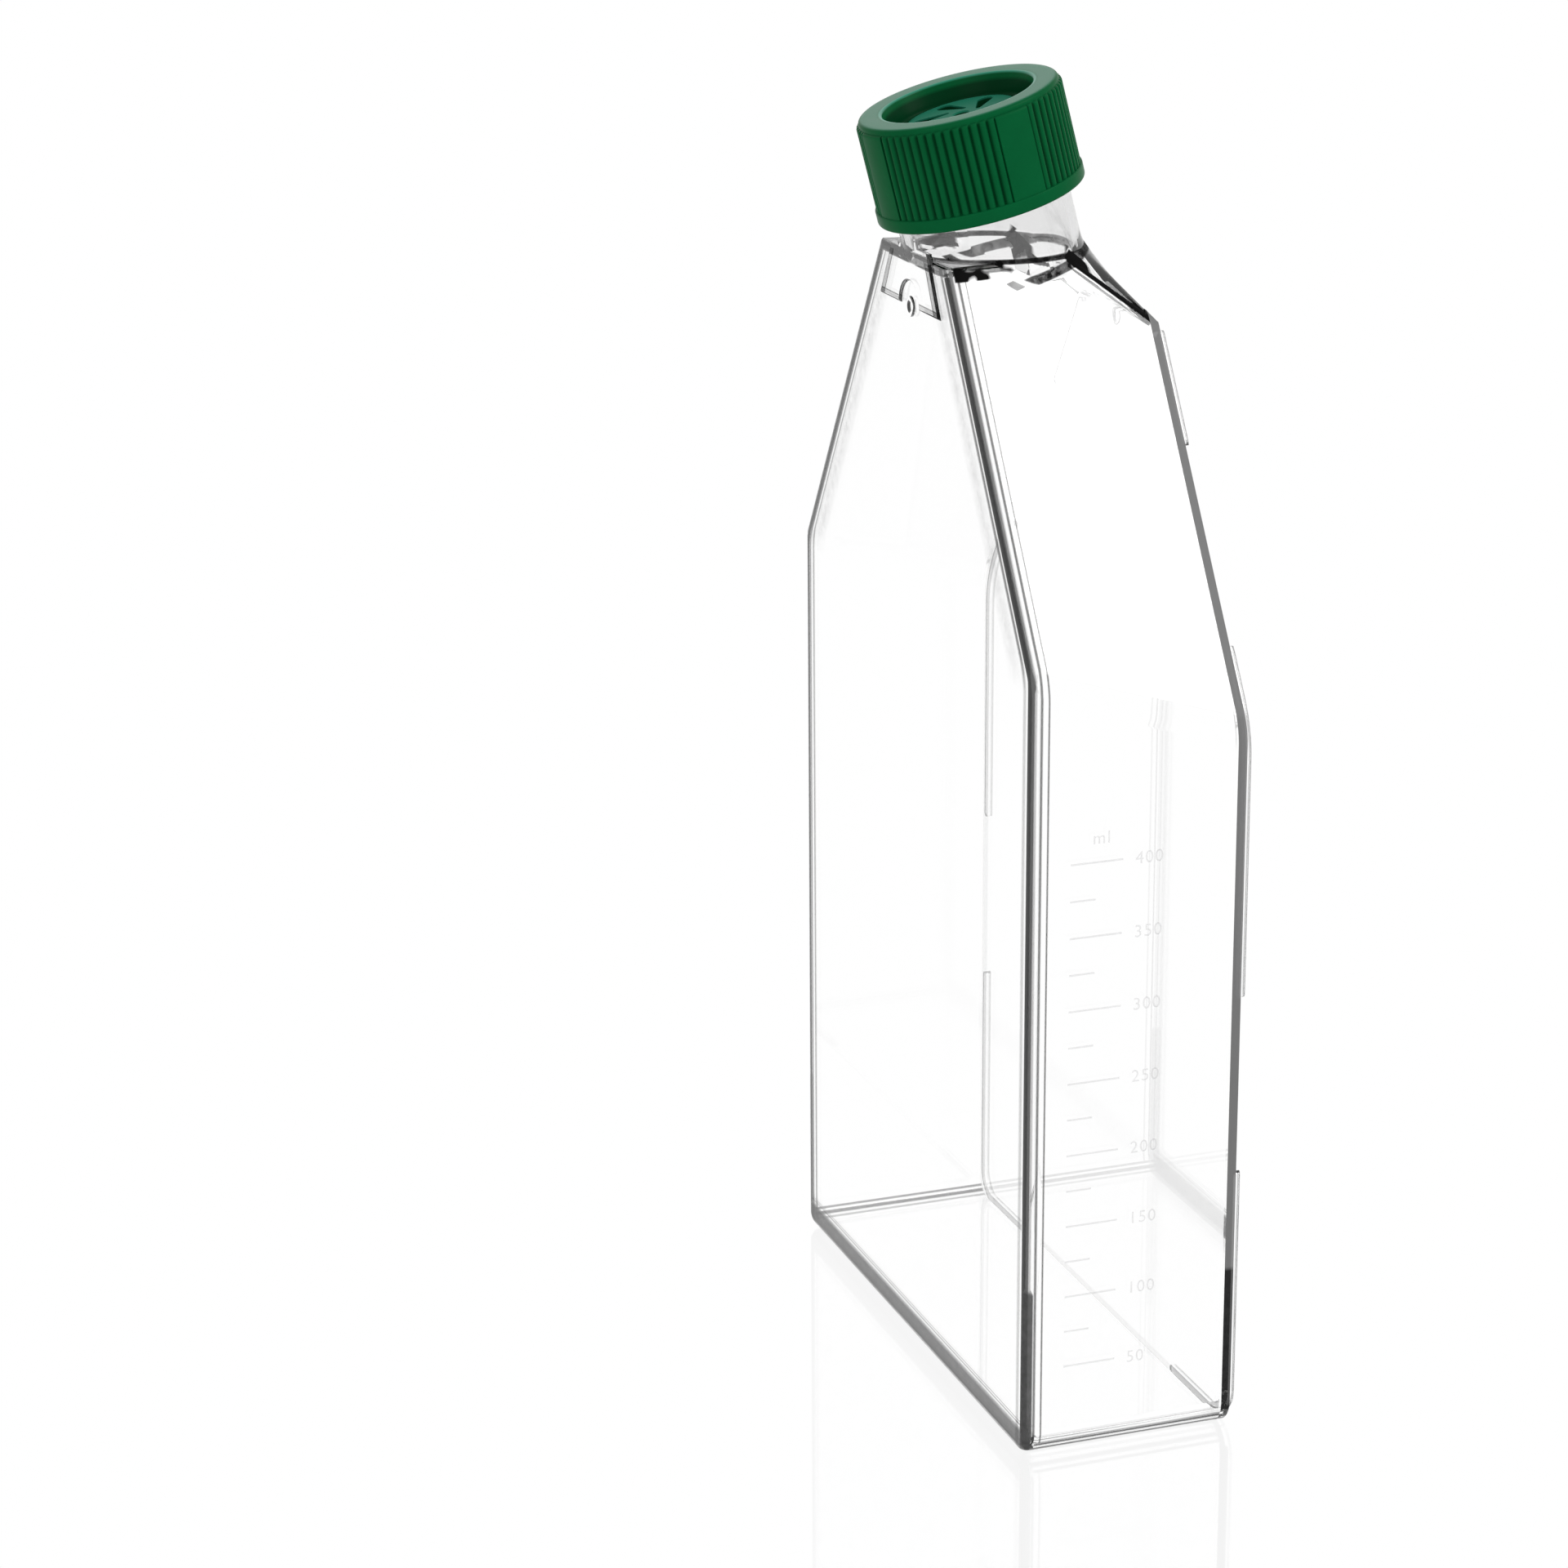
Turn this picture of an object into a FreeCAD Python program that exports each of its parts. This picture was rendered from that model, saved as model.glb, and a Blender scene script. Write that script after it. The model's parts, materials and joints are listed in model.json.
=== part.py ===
"""A 175 cm2 cell culture flask: clear vessel, welded growth plate and a vented screw cap on a canted neck.

Frame, in millimetres: the flask stands on its base end.  +Z runs up from the base to the cap, the
origin is the centre of the base end, the growth plate is the broad wall at +X, the top wall is the
broad wall at -X, and the graduated narrow side wall faces -Y.  The neck leans towards the top wall.
"""
import FreeCAD, Part
import Sketcher
import math
import os

# name, value, what it is.  Lengths in millimetres, angles in degrees.
SIZES = [
    ("BodyWidth", 111.6, "outside, across the two narrow side walls"),
    ("BodyDepth", 39.0, "outside, from the top wall to the growth plate"),
    ("WallThick", 1.6, "top wall, side walls and shoulder"),
    ("BaseThick", 1.7, "base end wall"),
    ("PlateThick", 1.8, "growth plate, welded on the open side of the vessel"),
    ("EdgeRadius", 2.5, "long outer edges of the top wall"),
    ("CornerRadius", 5.0, "outer corners of the base end, seen from the broad side"),
    ("BaseRadius", 2.2, "outer edge between the base end and the top wall"),
    ("ShoulderStart", 134.2, "height of the bend into the shoulder, at mid depth"),
    ("ShoulderLength", 62.0, "height of the tapered shoulder"),
    ("ShoulderLean", 17.5, "slope of the bend and of the shoulder's end, lower at the growth plate"),
    ("ShoulderHalf", 16.2, "half width of the shoulder at its end"),
    ("EndTrim", 0.95, "flat end of the top wall, below the shoulder's full end"),
    ("RampTop", 4.2, "how far past mid depth the flat end reaches before the ramp"),
    ("RampTrim", 0.45, "foot of the ramp, below the shoulder's full end at the growth plate"),
    ("NeckOffset", 3.7, "how far the neck's root lies from mid depth, towards the top wall"),
    ("NeckDrop", 3.0, "neck's root on its axis, below the flat end"),
    ("NeckLean", 14.6, "lean of the neck towards the top wall"),
    ("NeckRadius", 15.1, "outside of the neck"),
    ("NeckWall", 1.6, "wall of the neck"),
    ("NeckLength", 28.2, "from the neck's root to its rim"),
    ("RootStep", 0.8, "step between the ramp's collar and the neck"),
    ("ThreadPitch", 5.0, "lead of the single start thread"),
    ("ThreadHeight", 1.0, "how far the thread stands out"),
    ("ThreadBase", 2.2, "width of a thread at its root"),
    ("ThreadCrest", 1.0, "width of a thread at its crest"),
    ("ThreadDrop", 13.6, "neck thread's first turn, below the neck's rim"),
    ("NeckThreadTurns", 2.25, "turns on the neck"),
    ("CapThreadTurns", 1.5, "turns in the cap"),
    ("ThreadClearance", 0.35, "radial clearance between a thread's crest and the wall across from it"),
    ("CapSeat", 12.0, "height of the cap's lower edge above the neck's root"),
    ("SkirtRadius", 17.35, "skirt between the ribs"),
    ("RibProud", 0.5, "how far the ribs and the smooth panels stand out of the skirt"),
    ("RibRadius", 0.5, "radius of a rib's round section"),
    ("RibPitch", 5.0, "angle from rib to rib"),
    ("RibsPerGroup", 14, "ribs between two smooth panels"),
    ("PanelCount", 4, "smooth panels round the skirt"),
    ("PanelAngle", 17.0, "width of a smooth panel"),
    ("PanelPhase", 8.3, "turn of the first smooth panel from the growth plate's side"),
    ("BandProud", 0.75, "how far the band at the cap's lower edge stands out of the skirt"),
    ("BandHeight", 2.3, "band at the cap's lower edge"),
    ("RimHeight", 2.2, "smooth rim over the ribs"),
    ("RimRound", 0.9, "rounding of the rim's outer edge"),
    ("RimProud", 0.55, "how far the rim stands out of the skirt"),
    ("TopThick", 1.8, "cap's top over the neck's rim"),
    ("RecessMouth", 13.1, "radius of the recess at the cap's top"),
    ("RecessFloor", 11.4, "radius of the recess at its floor"),
    ("RecessDepth", 4.0, "recess, from the rim's top to its floor"),
    ("FloorThick", 1.5, "floor of the recess"),
    ("DiscRadius", 9.6, "vented disc that stands in the recess"),
    ("DiscRise", 1.0, "height of the vented disc over the recess's floor"),
    ("DiscThick", 1.4, "web of the vented disc"),
    ("PlugClearance", 0.3, "radial clearance between the cap's plug and the neck's bore"),
    ("SealGap", 0.2, "gap between the neck's rim and the cap's top"),
    ("VentCount", 6, "vent openings"),
    ("VentInner", 3.2, "radius where a vent starts"),
    ("VentOuter", 7.2, "radius of a vent's wide end"),
    ("VentSweep", 32.0, "turn between a vent's two ends"),
    ("VentTip", 0.45, "radius of a vent's narrow end"),
    ("VentBulb", 1.35, "radius of a vent's wide end"),
    ("MembraneThick", 0.3, "filter membrane"),
    ("MembraneMargin", 1.2, "how far the membrane stays inside the plug's edge"),
    ("MembraneGap", 0.05, "glue line between the membrane and the plug"),
    ("FootHeight", 1.2, "foot rim, beyond the growth plate"),
    ("FootWidth", 1.6, "foot rim"),
    ("FootInset", 0.8, "foot rim's outer face from the side wall"),
    ("FootShoulderGap", 36.0, "length of the gap in the foot rim on the shoulder"),
    ("FootShoulderRun", 21.0, "length of the foot rim beside the ramp"),
    ("FootSideTop", 80.0, "height where the foot rim's upper side run ends"),
    ("FootSideLow", 48.0, "height where the foot rim's lower side run ends"),
    ("FootBaseRun", 22.0, "foot rim along the base end, from the side wall"),
    ("PanelRise", 0.5, "raised panel on the top wall at the neck"),
    ("PanelLength", 9.2, "raised panel, down from the flat end"),
    ("PanelHalfTop", 8.4, "half width of the raised panel at its upper edge"),
    ("PanelHalfLow", 14.0, "half width of the raised panel at its lower edge"),
    ("GateRadius", 1.8, "gate mark, one on each broad wall"),
    ("GateNotch", 4.4, "radius of the notch round the gate mark"),
    ("GateRise", 0.3, "gate mark"),
    ("ScaleTop", 108.0, "height of the uppermost graduation"),
    ("ScaleStep", 13.0, "from one long graduation to the next"),
    ("ScaleCount", 8, "long graduations"),
    ("TickStart", 12.5, "graduations start this far from mid depth, towards the top wall"),
    ("TickLong", 9.5, "long graduation"),
    ("TickShort", 4.6, "short graduation, halfway between two long ones"),
    ("TickWidth", 0.35, "graduation, top to bottom"),
    ("TickRise", 0.15, "how far the graduations stand out"),
]

doc = FreeCAD.newDocument("culture_flask")
sheet = doc.addObject("Spreadsheet::Sheet", "Sizes")
for row, (alias, value, meaning) in enumerate(SIZES, start=1):
    sheet.set(f"A{row}", alias)
    sheet.set(f"B{row}", str(value))
    sheet.set(f"C{row}", meaning)
    sheet.setAlias(f"B{row}", alias)
doc.recompute()


def cell(formula):
    """An expression on the sheet: every size's name in the formula gets the sheet's name before it."""
    words = formula
    for alias in sorted((entry[0] for entry in SIZES), key=len, reverse=True):
        words = words.replace(alias, f"<{SIZE_INDEX[alias]}>")
    for alias, index in SIZE_INDEX.items():
        words = words.replace(f"<{index}>", f"Sizes.{alias}")
    return words


SIZE_INDEX = {entry[0]: index for index, entry in enumerate(SIZES)}


def size(alias):
    """A size as a plain number, for a count or a loop."""
    return float(sheet.get(alias))


def number(formula):
    """The formula's value now, used to draw a sketch close to its final shape."""
    return float(sheet.evalExpression(cell(formula)))


def bind(feature, **formulas):
    """Bind properties to formulas; a double underscore in a name stands for a dot."""
    for name, formula in formulas.items():
        feature.setExpression(name.replace("__", "."), cell(formula))
    return feature


# Formulas that more than one piece uses.
HALF_DEPTH = "BodyDepth / 2"
BEND_FALL = "BodyDepth / 2 * tan(ShoulderLean)"
END_HEIGHT = f"(ShoulderStart + ShoulderLength + {BEND_FALL} - EndTrim)"
RAMP_FOOT = f"(ShoulderStart + ShoulderLength - {BEND_FALL} - RampTrim)"
NECK_ROOT = f"({END_HEIGHT} - NeckDrop)"
TOP = f"({END_HEIGHT} + NeckLength)"
TAPER = "(BodyWidth / 2 - ShoulderHalf) / ShoulderLength"
BORE_RADIUS = "NeckRadius - NeckWall"
THREAD_MAJOR = "NeckRadius + ThreadHeight"
CAP_BORE = "NeckRadius + ThreadHeight + ThreadClearance"
CAP_HEIGHT = "(NeckLength - CapSeat + SealGap + TopThick)"
CAP_UNDER = f"{CAP_HEIGHT} - RecessDepth - FloorThick"
PLUG_RADIUS = "NeckRadius - NeckWall - PlugClearance"
CAP_TOP_UNDER = f"{CAP_HEIGHT} - TopThick"
RIB_LENGTH = f"{CAP_HEIGHT} - RimHeight - BandHeight"
THREAD_START = "(NeckLength - ThreadDrop)"


def origin_feature(body, role):
    """The body's own origin plane or axis of the given role."""
    return next(item for item in body.Origin.OriginFeatures if item.Role == role)


def placed_sketch(name, body=None, role="XY_Plane"):
    """An empty sketch, on a plane of the given body or free in the document."""
    if body is None:
        return doc.addObject("Sketcher::SketchObject", name)
    sketch = body.newObject("Sketcher::SketchObject", name)
    sketch.AttachmentSupport = [(origin_feature(body, role), "")]
    sketch.MapMode = "FlatFace"
    return sketch


def closed_polygon(sketch, corners):
    """Lines through the corners, each given as two formulas, with every corner dimensioned."""
    points = [FreeCAD.Vector(number(across), number(up), 0) for across, up in corners]
    for i, start in enumerate(points):
        sketch.addGeometry(Part.LineSegment(start, points[(i + 1) % len(points)]), False)
    for i in range(len(corners)):
        after = (i + 1) % len(corners)
        sketch.addConstraint(Sketcher.Constraint("Coincident", i, 2, after, 1))
    for i, (across, up) in enumerate(corners):
        place(sketch, i, 1, across, up)
    return sketch


def place(sketch, geometry, point, across, up):
    """Dimension a point from the sketch's origin, its place given as two formulas."""
    for kind, formula in (("DistanceX", across), ("DistanceY", up)):
        index = sketch.addConstraint(Sketcher.Constraint(kind, -1, 1, geometry, point, number(formula)))
        sketch.setExpression(f"Constraints[{index}]", cell(formula))


def limit(sketch, kind, geometry, point, formula):
    """Bind one distance from the sketch's origin to a point, or the radius of an arc or circle."""
    ends = (geometry,) if kind == "Radius" else (-1, 1, geometry, point)
    index = sketch.addConstraint(Sketcher.Constraint(kind, *ends, number(formula)))
    sketch.setExpression(f"Constraints[{index}]", cell(formula))


def circle(sketch, across, up, radius):
    """A circle in the sketch, its centre and radius given as formulas."""
    centre = FreeCAD.Vector(number(across), number(up), 0)
    sketch.addGeometry(Part.Circle(centre, FreeCAD.Vector(0, 0, 1), number(radius)), False)
    limit(sketch, "Radius", 0, None, radius)
    place(sketch, 0, 3, across, up)


def extruded(name, sketch, direction, length, label=None):
    """A solid from a sketch, carried half its length to each side along a direction."""
    solid = doc.addObject("Part::Extrusion", name)
    solid.Base = sketch
    solid.DirMode = "Custom"
    solid.Dir = direction
    solid.Solid = True
    solid.Symmetric = True
    bind(solid, LengthFwd=length)
    solid.Label = label or name
    return solid


def boolean(kind, name, base, tool):
    """A boolean of two objects."""
    result = doc.addObject(f"Part::{kind}", name)
    result.Base = base
    result.Tool = tool
    return result


def fused(name, parts):
    """The union of several objects."""
    result = doc.addObject("Part::MultiFuse", name)
    result.Shapes = parts
    return result


def joined(name, base, additions):
    """The base with each addition fused on in turn; the last fuse gets the name."""
    for index, addition in enumerate(additions, start=1):
        last = index == len(additions)
        base = boolean("Fuse", name if last else f"{name}_with_{addition.Name}", base, addition)
    return base


def gathered(name, pieces):
    """Several objects as one compound."""
    group = doc.addObject("Part::Compound", name)
    group.Links = pieces
    return group


def box(name, low, extent):
    """A box whose low corner and size are each three formulas."""
    solid = doc.addObject("Part::Box", name)
    bind(solid, Placement__Base__x=low[0], Placement__Base__y=low[1], Placement__Base__z=low[2],
         Length=extent[0], Width=extent[1], Height=extent[2])
    return solid


UPRIGHT_XZ = FreeCAD.Rotation(FreeCAD.Vector(1, 0, 0), 90)      # sketch across = X, up = Z
UPRIGHT_YZ = FreeCAD.Rotation(0.5, 0.5, 0.5, 0.5)               # sketch across = Y, up = Z


# ---------------------------------------------------------------- vessel
def vessel_section(name, inset, half_width, height, lean=None):
    """A cross section: a rectangle whose two corners at the top wall are round.

    The section lies level at the given height, or leans about Y, and then it is longer by the
    lean's cosine.  Its growth plate edge stops at the plate's inner face when it is a cavity.
    """
    plate = "PlateThick" if inset == "WallThick" else "0"
    stretch = f" / cos({lean})" if lean else ""
    low = f"-({HALF_DEPTH} - {inset}){stretch}"
    high = f"({HALF_DEPTH} - {plate}){stretch}"
    radius = f"EdgeRadius - {inset}"
    sketch = doc.addObject("Sketcher::SketchObject", name)
    vector = FreeCAD.Vector
    x0, x1, half, r = number(low), number(high), number(half_width), number(radius)
    sketch.addGeometry([
        Part.LineSegment(vector(x0, half - r, 0), vector(x0, -half + r, 0)),
        Part.ArcOfCircle(Part.Circle(vector(x0 + r, -half + r, 0), vector(0, 0, 1), r),
                         math.pi, 1.5 * math.pi),
        Part.LineSegment(vector(x0 + r, -half, 0), vector(x1, -half, 0)),
        Part.LineSegment(vector(x1, -half, 0), vector(x1, half, 0)),
        Part.LineSegment(vector(x1, half, 0), vector(x0 + r, half, 0)),
        Part.ArcOfCircle(Part.Circle(vector(x0 + r, half - r, 0), vector(0, 0, 1), r),
                         0.5 * math.pi, math.pi),
    ], False)
    sketch.addConstraint([
        Sketcher.Constraint("Tangent", 0, 2, 1, 1),
        Sketcher.Constraint("Tangent", 1, 2, 2, 1),
        Sketcher.Constraint("Coincident", 2, 2, 3, 1),
        Sketcher.Constraint("Coincident", 3, 2, 4, 1),
        Sketcher.Constraint("Tangent", 4, 2, 5, 1),
        Sketcher.Constraint("Tangent", 5, 2, 0, 1),
        Sketcher.Constraint("Vertical", 0),
        Sketcher.Constraint("Vertical", 3),
        Sketcher.Constraint("Horizontal", 2),
        Sketcher.Constraint("Horizontal", 4),
    ])
    sketch.addConstraint(Sketcher.Constraint("Equal", 1, 5))
    for kind, geometry, point, formula in (("Radius", 1, None, radius),
                                           ("DistanceX", 0, 1, low),
                                           ("DistanceX", 3, 1, high),
                                           ("DistanceY", 3, 1, f"-({half_width})"),
                                           ("DistanceY", 3, 2, half_width)):
        limit(sketch, kind, geometry, point, formula)
    if lean:
        sketch.Placement = FreeCAD.Placement(vector(), FreeCAD.Rotation(vector(0, 1, 0), 1))
        bind(sketch, Placement__Rotation__Angle=lean)
    bind(sketch, Placement__Base__z=height)
    return sketch


def rounded_outline(name, inset, floor):
    """The broad side's outline: straight sides and a base with two round corners."""
    half = f"BodyWidth / 2 - {inset}"
    radius = f"CornerRadius - {inset}"
    sketch = doc.addObject("Sketcher::SketchObject", name)
    vector = FreeCAD.Vector
    w, top, low, r = number(half), number(TOP), number(floor), number(radius)
    sketch.addGeometry([
        Part.LineSegment(vector(-w + r, low, 0), vector(w - r, low, 0)),
        Part.ArcOfCircle(Part.Circle(vector(w - r, low + r, 0), vector(0, 0, 1), r),
                         1.5 * math.pi, 2 * math.pi),
        Part.LineSegment(vector(w, low + r, 0), vector(w, top, 0)),
        Part.LineSegment(vector(w, top, 0), vector(-w, top, 0)),
        Part.LineSegment(vector(-w, top, 0), vector(-w, low + r, 0)),
        Part.ArcOfCircle(Part.Circle(vector(-w + r, low + r, 0), vector(0, 0, 1), r),
                         math.pi, 1.5 * math.pi),
    ], False)
    sketch.addConstraint([
        Sketcher.Constraint("Tangent", 0, 2, 1, 1),
        Sketcher.Constraint("Tangent", 1, 2, 2, 1),
        Sketcher.Constraint("Coincident", 2, 2, 3, 1),
        Sketcher.Constraint("Coincident", 3, 2, 4, 1),
        Sketcher.Constraint("Tangent", 4, 2, 5, 1),
        Sketcher.Constraint("Tangent", 5, 2, 0, 1),
        Sketcher.Constraint("Horizontal", 0),
        Sketcher.Constraint("Vertical", 2),
        Sketcher.Constraint("Vertical", 4),
        Sketcher.Constraint("Equal", 1, 5),
    ])
    for kind, geometry, point, formula in (("Radius", 1, None, radius),
                                           ("DistanceY", 0, 1, floor),
                                           ("DistanceX", 3, 1, half),
                                           ("DistanceY", 3, 1, TOP),
                                           ("DistanceX", 3, 2, f"-({half})"),
                                           ("DistanceY", 3, 2, TOP)):
        limit(sketch, kind, geometry, point, formula)
    sketch.Placement = FreeCAD.Placement(vector(), UPRIGHT_YZ)
    return sketch


def side_outline(name, inset, floor):
    """The narrow side's outline: a rectangle whose corner between the base and the top wall is round."""
    plate = "PlateThick" if inset == "WallThick" else "0"
    low, high = f"-({HALF_DEPTH} - {inset})", f"({HALF_DEPTH} - {plate})"
    radius = f"BaseRadius - {inset}"
    x0, x1, z0, z1, r = (number(formula) for formula in (low, high, floor, TOP, radius))
    sketch = doc.addObject("Sketcher::SketchObject", name)
    vector = FreeCAD.Vector
    sketch.addGeometry([
        Part.LineSegment(vector(x0 + r, z0, 0), vector(x1, z0, 0)),
        Part.LineSegment(vector(x1, z0, 0), vector(x1, z1, 0)),
        Part.LineSegment(vector(x1, z1, 0), vector(x0, z1, 0)),
        Part.LineSegment(vector(x0, z1, 0), vector(x0, z0 + r, 0)),
        Part.ArcOfCircle(Part.Circle(vector(x0 + r, z0 + r, 0), vector(0, 0, 1), r), math.pi, 1.5 * math.pi),
    ], False)
    sketch.addConstraint([
        Sketcher.Constraint("Coincident", 0, 2, 1, 1),
        Sketcher.Constraint("Coincident", 1, 2, 2, 1),
        Sketcher.Constraint("Coincident", 2, 2, 3, 1),
        Sketcher.Constraint("Tangent", 3, 2, 4, 1),
        Sketcher.Constraint("Tangent", 4, 2, 0, 1),
        Sketcher.Constraint("Horizontal", 0),
        Sketcher.Constraint("Vertical", 1),
        Sketcher.Constraint("Horizontal", 2),
        Sketcher.Constraint("Vertical", 3),
    ])
    for kind, geometry, point, formula in (("Radius", 4, None, radius),
                                           ("DistanceX", 2, 1, high),
                                           ("DistanceY", 2, 1, TOP),
                                           ("DistanceX", 2, 2, low),
                                           ("DistanceY", 0, 2, floor)):
        limit(sketch, kind, geometry, point, formula)
    sketch.Placement = FreeCAD.Placement(vector(), UPRIGHT_XZ)
    return sketch


def end_trim(name, inset):
    """What is cut off above the shoulder: over the flat end, and over the ramp beside it."""
    rise = f"({END_HEIGHT} - {RAMP_FOOT}) / ({HALF_DEPTH} - RampTop)"
    slant = f"{inset} * sqrt(1 + ({rise}) ^ 2)"
    far = "2 * BodyDepth"
    sketch = placed_sketch(f"{name}_profile")
    closed_polygon(sketch, [
        (f"-({far})", f"{END_HEIGHT} - {inset}"),
        (f"RampTop + ({inset} - {slant}) / ({rise})", f"{END_HEIGHT} - {inset}"),
        (far, f"{RAMP_FOOT} - ({far} - {HALF_DEPTH}) * ({rise}) - {slant}"),
        (far, TOP),
        (f"-({far})", TOP),
    ])
    sketch.Placement = FreeCAD.Placement(FreeCAD.Vector(), UPRIGHT_XZ)
    return extruded(name, sketch, FreeCAD.Vector(0, 1, 0), "2 * BodyWidth")


def vessel_solid(name, inset, floor):
    """The vessel's outside, or its cavity when the walls are taken off as the inset."""
    reach = "ShoulderLength / 6"
    drop = f"{inset} * (sqrt(1 + ({TAPER}) ^ 2) - 1) / ({TAPER})" if inset != "0" else "0"
    half = f"BodyWidth / 2 - {inset}"
    end_half = f"{half} - ({TAPER}) * (ShoulderLength + {reach})"
    sections = [
        vessel_section(f"{name}_base", inset, half, "0"),
        vessel_section(f"{name}_bend", inset, half, f"ShoulderStart - {drop}", "ShoulderLean"),
        vessel_section(f"{name}_end", inset, end_half,
                       f"ShoulderStart - {drop} + ShoulderLength + {reach}", "ShoulderLean"),
    ]
    loft = doc.addObject("Part::Loft", f"{name}_loft")
    loft.Sections = sections
    loft.Solid = True
    loft.Ruled = True
    outline = extruded(f"{name}_outline", rounded_outline(f"{name}_outline_profile", inset, floor),
                       FreeCAD.Vector(1, 0, 0), "2 * BodyDepth")
    side = extruded(f"{name}_side", side_outline(f"{name}_side_profile", inset, floor),
                    FreeCAD.Vector(0, 1, 0), "2 * BodyWidth")
    trimmed = boolean("Cut", f"{name}_trimmed", loft, end_trim(f"{name}_trim", inset))
    return boolean("Common", name, boolean("Common", f"{name}_squared", trimmed, outline), side)


def place_on_neck(piece, along):
    """Put a piece that is drawn round its own Z axis on the neck's leaning axis."""
    piece.Placement = FreeCAD.Placement(FreeCAD.Vector(), FreeCAD.Rotation(FreeCAD.Vector(0, -1, 0), 1))
    return bind(piece, Placement__Rotation__Angle="NeckLean",
                Placement__Base__x=f"-NeckOffset - ({along}) * sin(NeckLean)",
                Placement__Base__z=f"{NECK_ROOT} + ({along}) * cos(NeckLean)")


def ramp_cone(name, inset, radius):
    """The ramp's crowned middle: a loft from a level rectangle at the ramp's foot to a ring on the neck."""
    edge = f"{HALF_DEPTH} - PlateThick - WallThick" if inset == "WallThick" else HALF_DEPTH
    half = f"ShoulderHalf - {inset}"
    foot = placed_sketch(f"{name}_foot")
    closed_polygon(foot, [(f"-{HALF_DEPTH} / 2", f"-({half})"), (edge, f"-({half})"),
                          (edge, half), (f"-{HALF_DEPTH} / 2", half)])
    bind(foot, Placement__Base__z=RAMP_FOOT)
    ring = doc.addObject("Part::Circle", f"{name}_ring")
    bind(ring, Radius=radius)
    place_on_neck(ring, "0")
    loft = doc.addObject("Part::Loft", name)
    loft.Sections = [foot, ring]
    loft.Solid = True
    loft.Ruled = True
    return loft


def on_neck_cylinder(name, radius, start, length):
    """A cylinder on the neck's axis."""
    solid = doc.addObject("Part::Cylinder", name)
    bind(solid, Radius=radius, Height=length)
    return place_on_neck(solid, start)


def thread_ridge(name, root, height, start, turns):
    """A trapezoid ridge carried round a helix about Z; a negative height points it inwards."""
    spine = doc.addObject("Part::Helix", f"{name}_spine")
    spine.LocalCoord = "Right-handed"
    bind(spine, Radius=root, Pitch="ThreadPitch", Height=f"ThreadPitch * {turns}")
    bind(spine, Placement__Base__z=start)
    profile = placed_sketch(f"{name}_profile")
    sink = f"ThreadHeight / 4 * {'1' if height.startswith('-') else '-1'}"
    closed_polygon(profile, [
        (f"{root} + {sink}", f"{start} - ThreadBase / 2"),
        (f"{root} + {height}", f"{start} - ThreadCrest / 2"),
        (f"{root} + {height}", f"{start} + ThreadCrest / 2"),
        (f"{root} + {sink}", f"{start} + ThreadBase / 2"),
    ])
    profile.Placement = FreeCAD.Placement(FreeCAD.Vector(), UPRIGHT_XZ)
    ridge = doc.addObject("Part::Sweep", name)
    ridge.Sections = [profile]
    ridge.Spine = (spine, ["Edge1"])
    ridge.Solid = True
    ridge.Frenet = True
    return ridge


def graduations():
    """Raised lines on the side wall: long ones on each step, short ones halfway."""
    made = []
    for index in range(2 * int(size("ScaleCount")) - 1):
        length = "TickShort" if index % 2 else "TickLong"
        low = ("-TickStart", "-BodyWidth / 2 - TickRise",
               f"ScaleTop - {index} * ScaleStep / 2 - TickWidth / 2")
        made.append(box(f"graduation_{index}", low, (length, "TickRise + WallThick / 2", "TickWidth")))
    return made


def raised_panel():
    """A low raised panel on the top wall at the neck, notched round the gate mark."""
    sketch = placed_sketch("panel_profile")
    closed_polygon(sketch, [("-PanelHalfTop", END_HEIGHT), ("-PanelHalfLow", f"{END_HEIGHT} - PanelLength"),
                            ("PanelHalfLow", f"{END_HEIGHT} - PanelLength"), ("PanelHalfTop", END_HEIGHT)])
    sketch.Placement = FreeCAD.Placement(FreeCAD.Vector(), UPRIGHT_YZ)
    bind(sketch, Placement__Base__x=f"-{HALF_DEPTH}")
    plateau = extruded("panel_plateau", sketch, FreeCAD.Vector(1, 0, 0), "2 * PanelRise")
    notch = gate_disc("panel_notch", "GateNotch", f"-{HALF_DEPTH} - 2 * PanelRise", "4 * PanelRise",
                      f"{END_HEIGHT} - PanelLength")
    mark = gate_disc("top_gate_mark", "GateRadius", f"-{HALF_DEPTH} - GateRise",
                     "GateRise + WallThick / 2", f"{END_HEIGHT} - PanelLength")
    return [boolean("Cut", "panel", plateau, notch), mark]


def gate_disc(name, radius, start, length, height):
    """A disc whose axis runs along X, on the flask's middle plane."""
    solid = doc.addObject("Part::Cylinder", name)
    solid.Placement = FreeCAD.Placement(FreeCAD.Vector(), FreeCAD.Rotation(FreeCAD.Vector(0, 1, 0), 90))
    return bind(solid, Radius=radius, Height=length, Placement__Base__x=start, Placement__Base__z=height)


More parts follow.
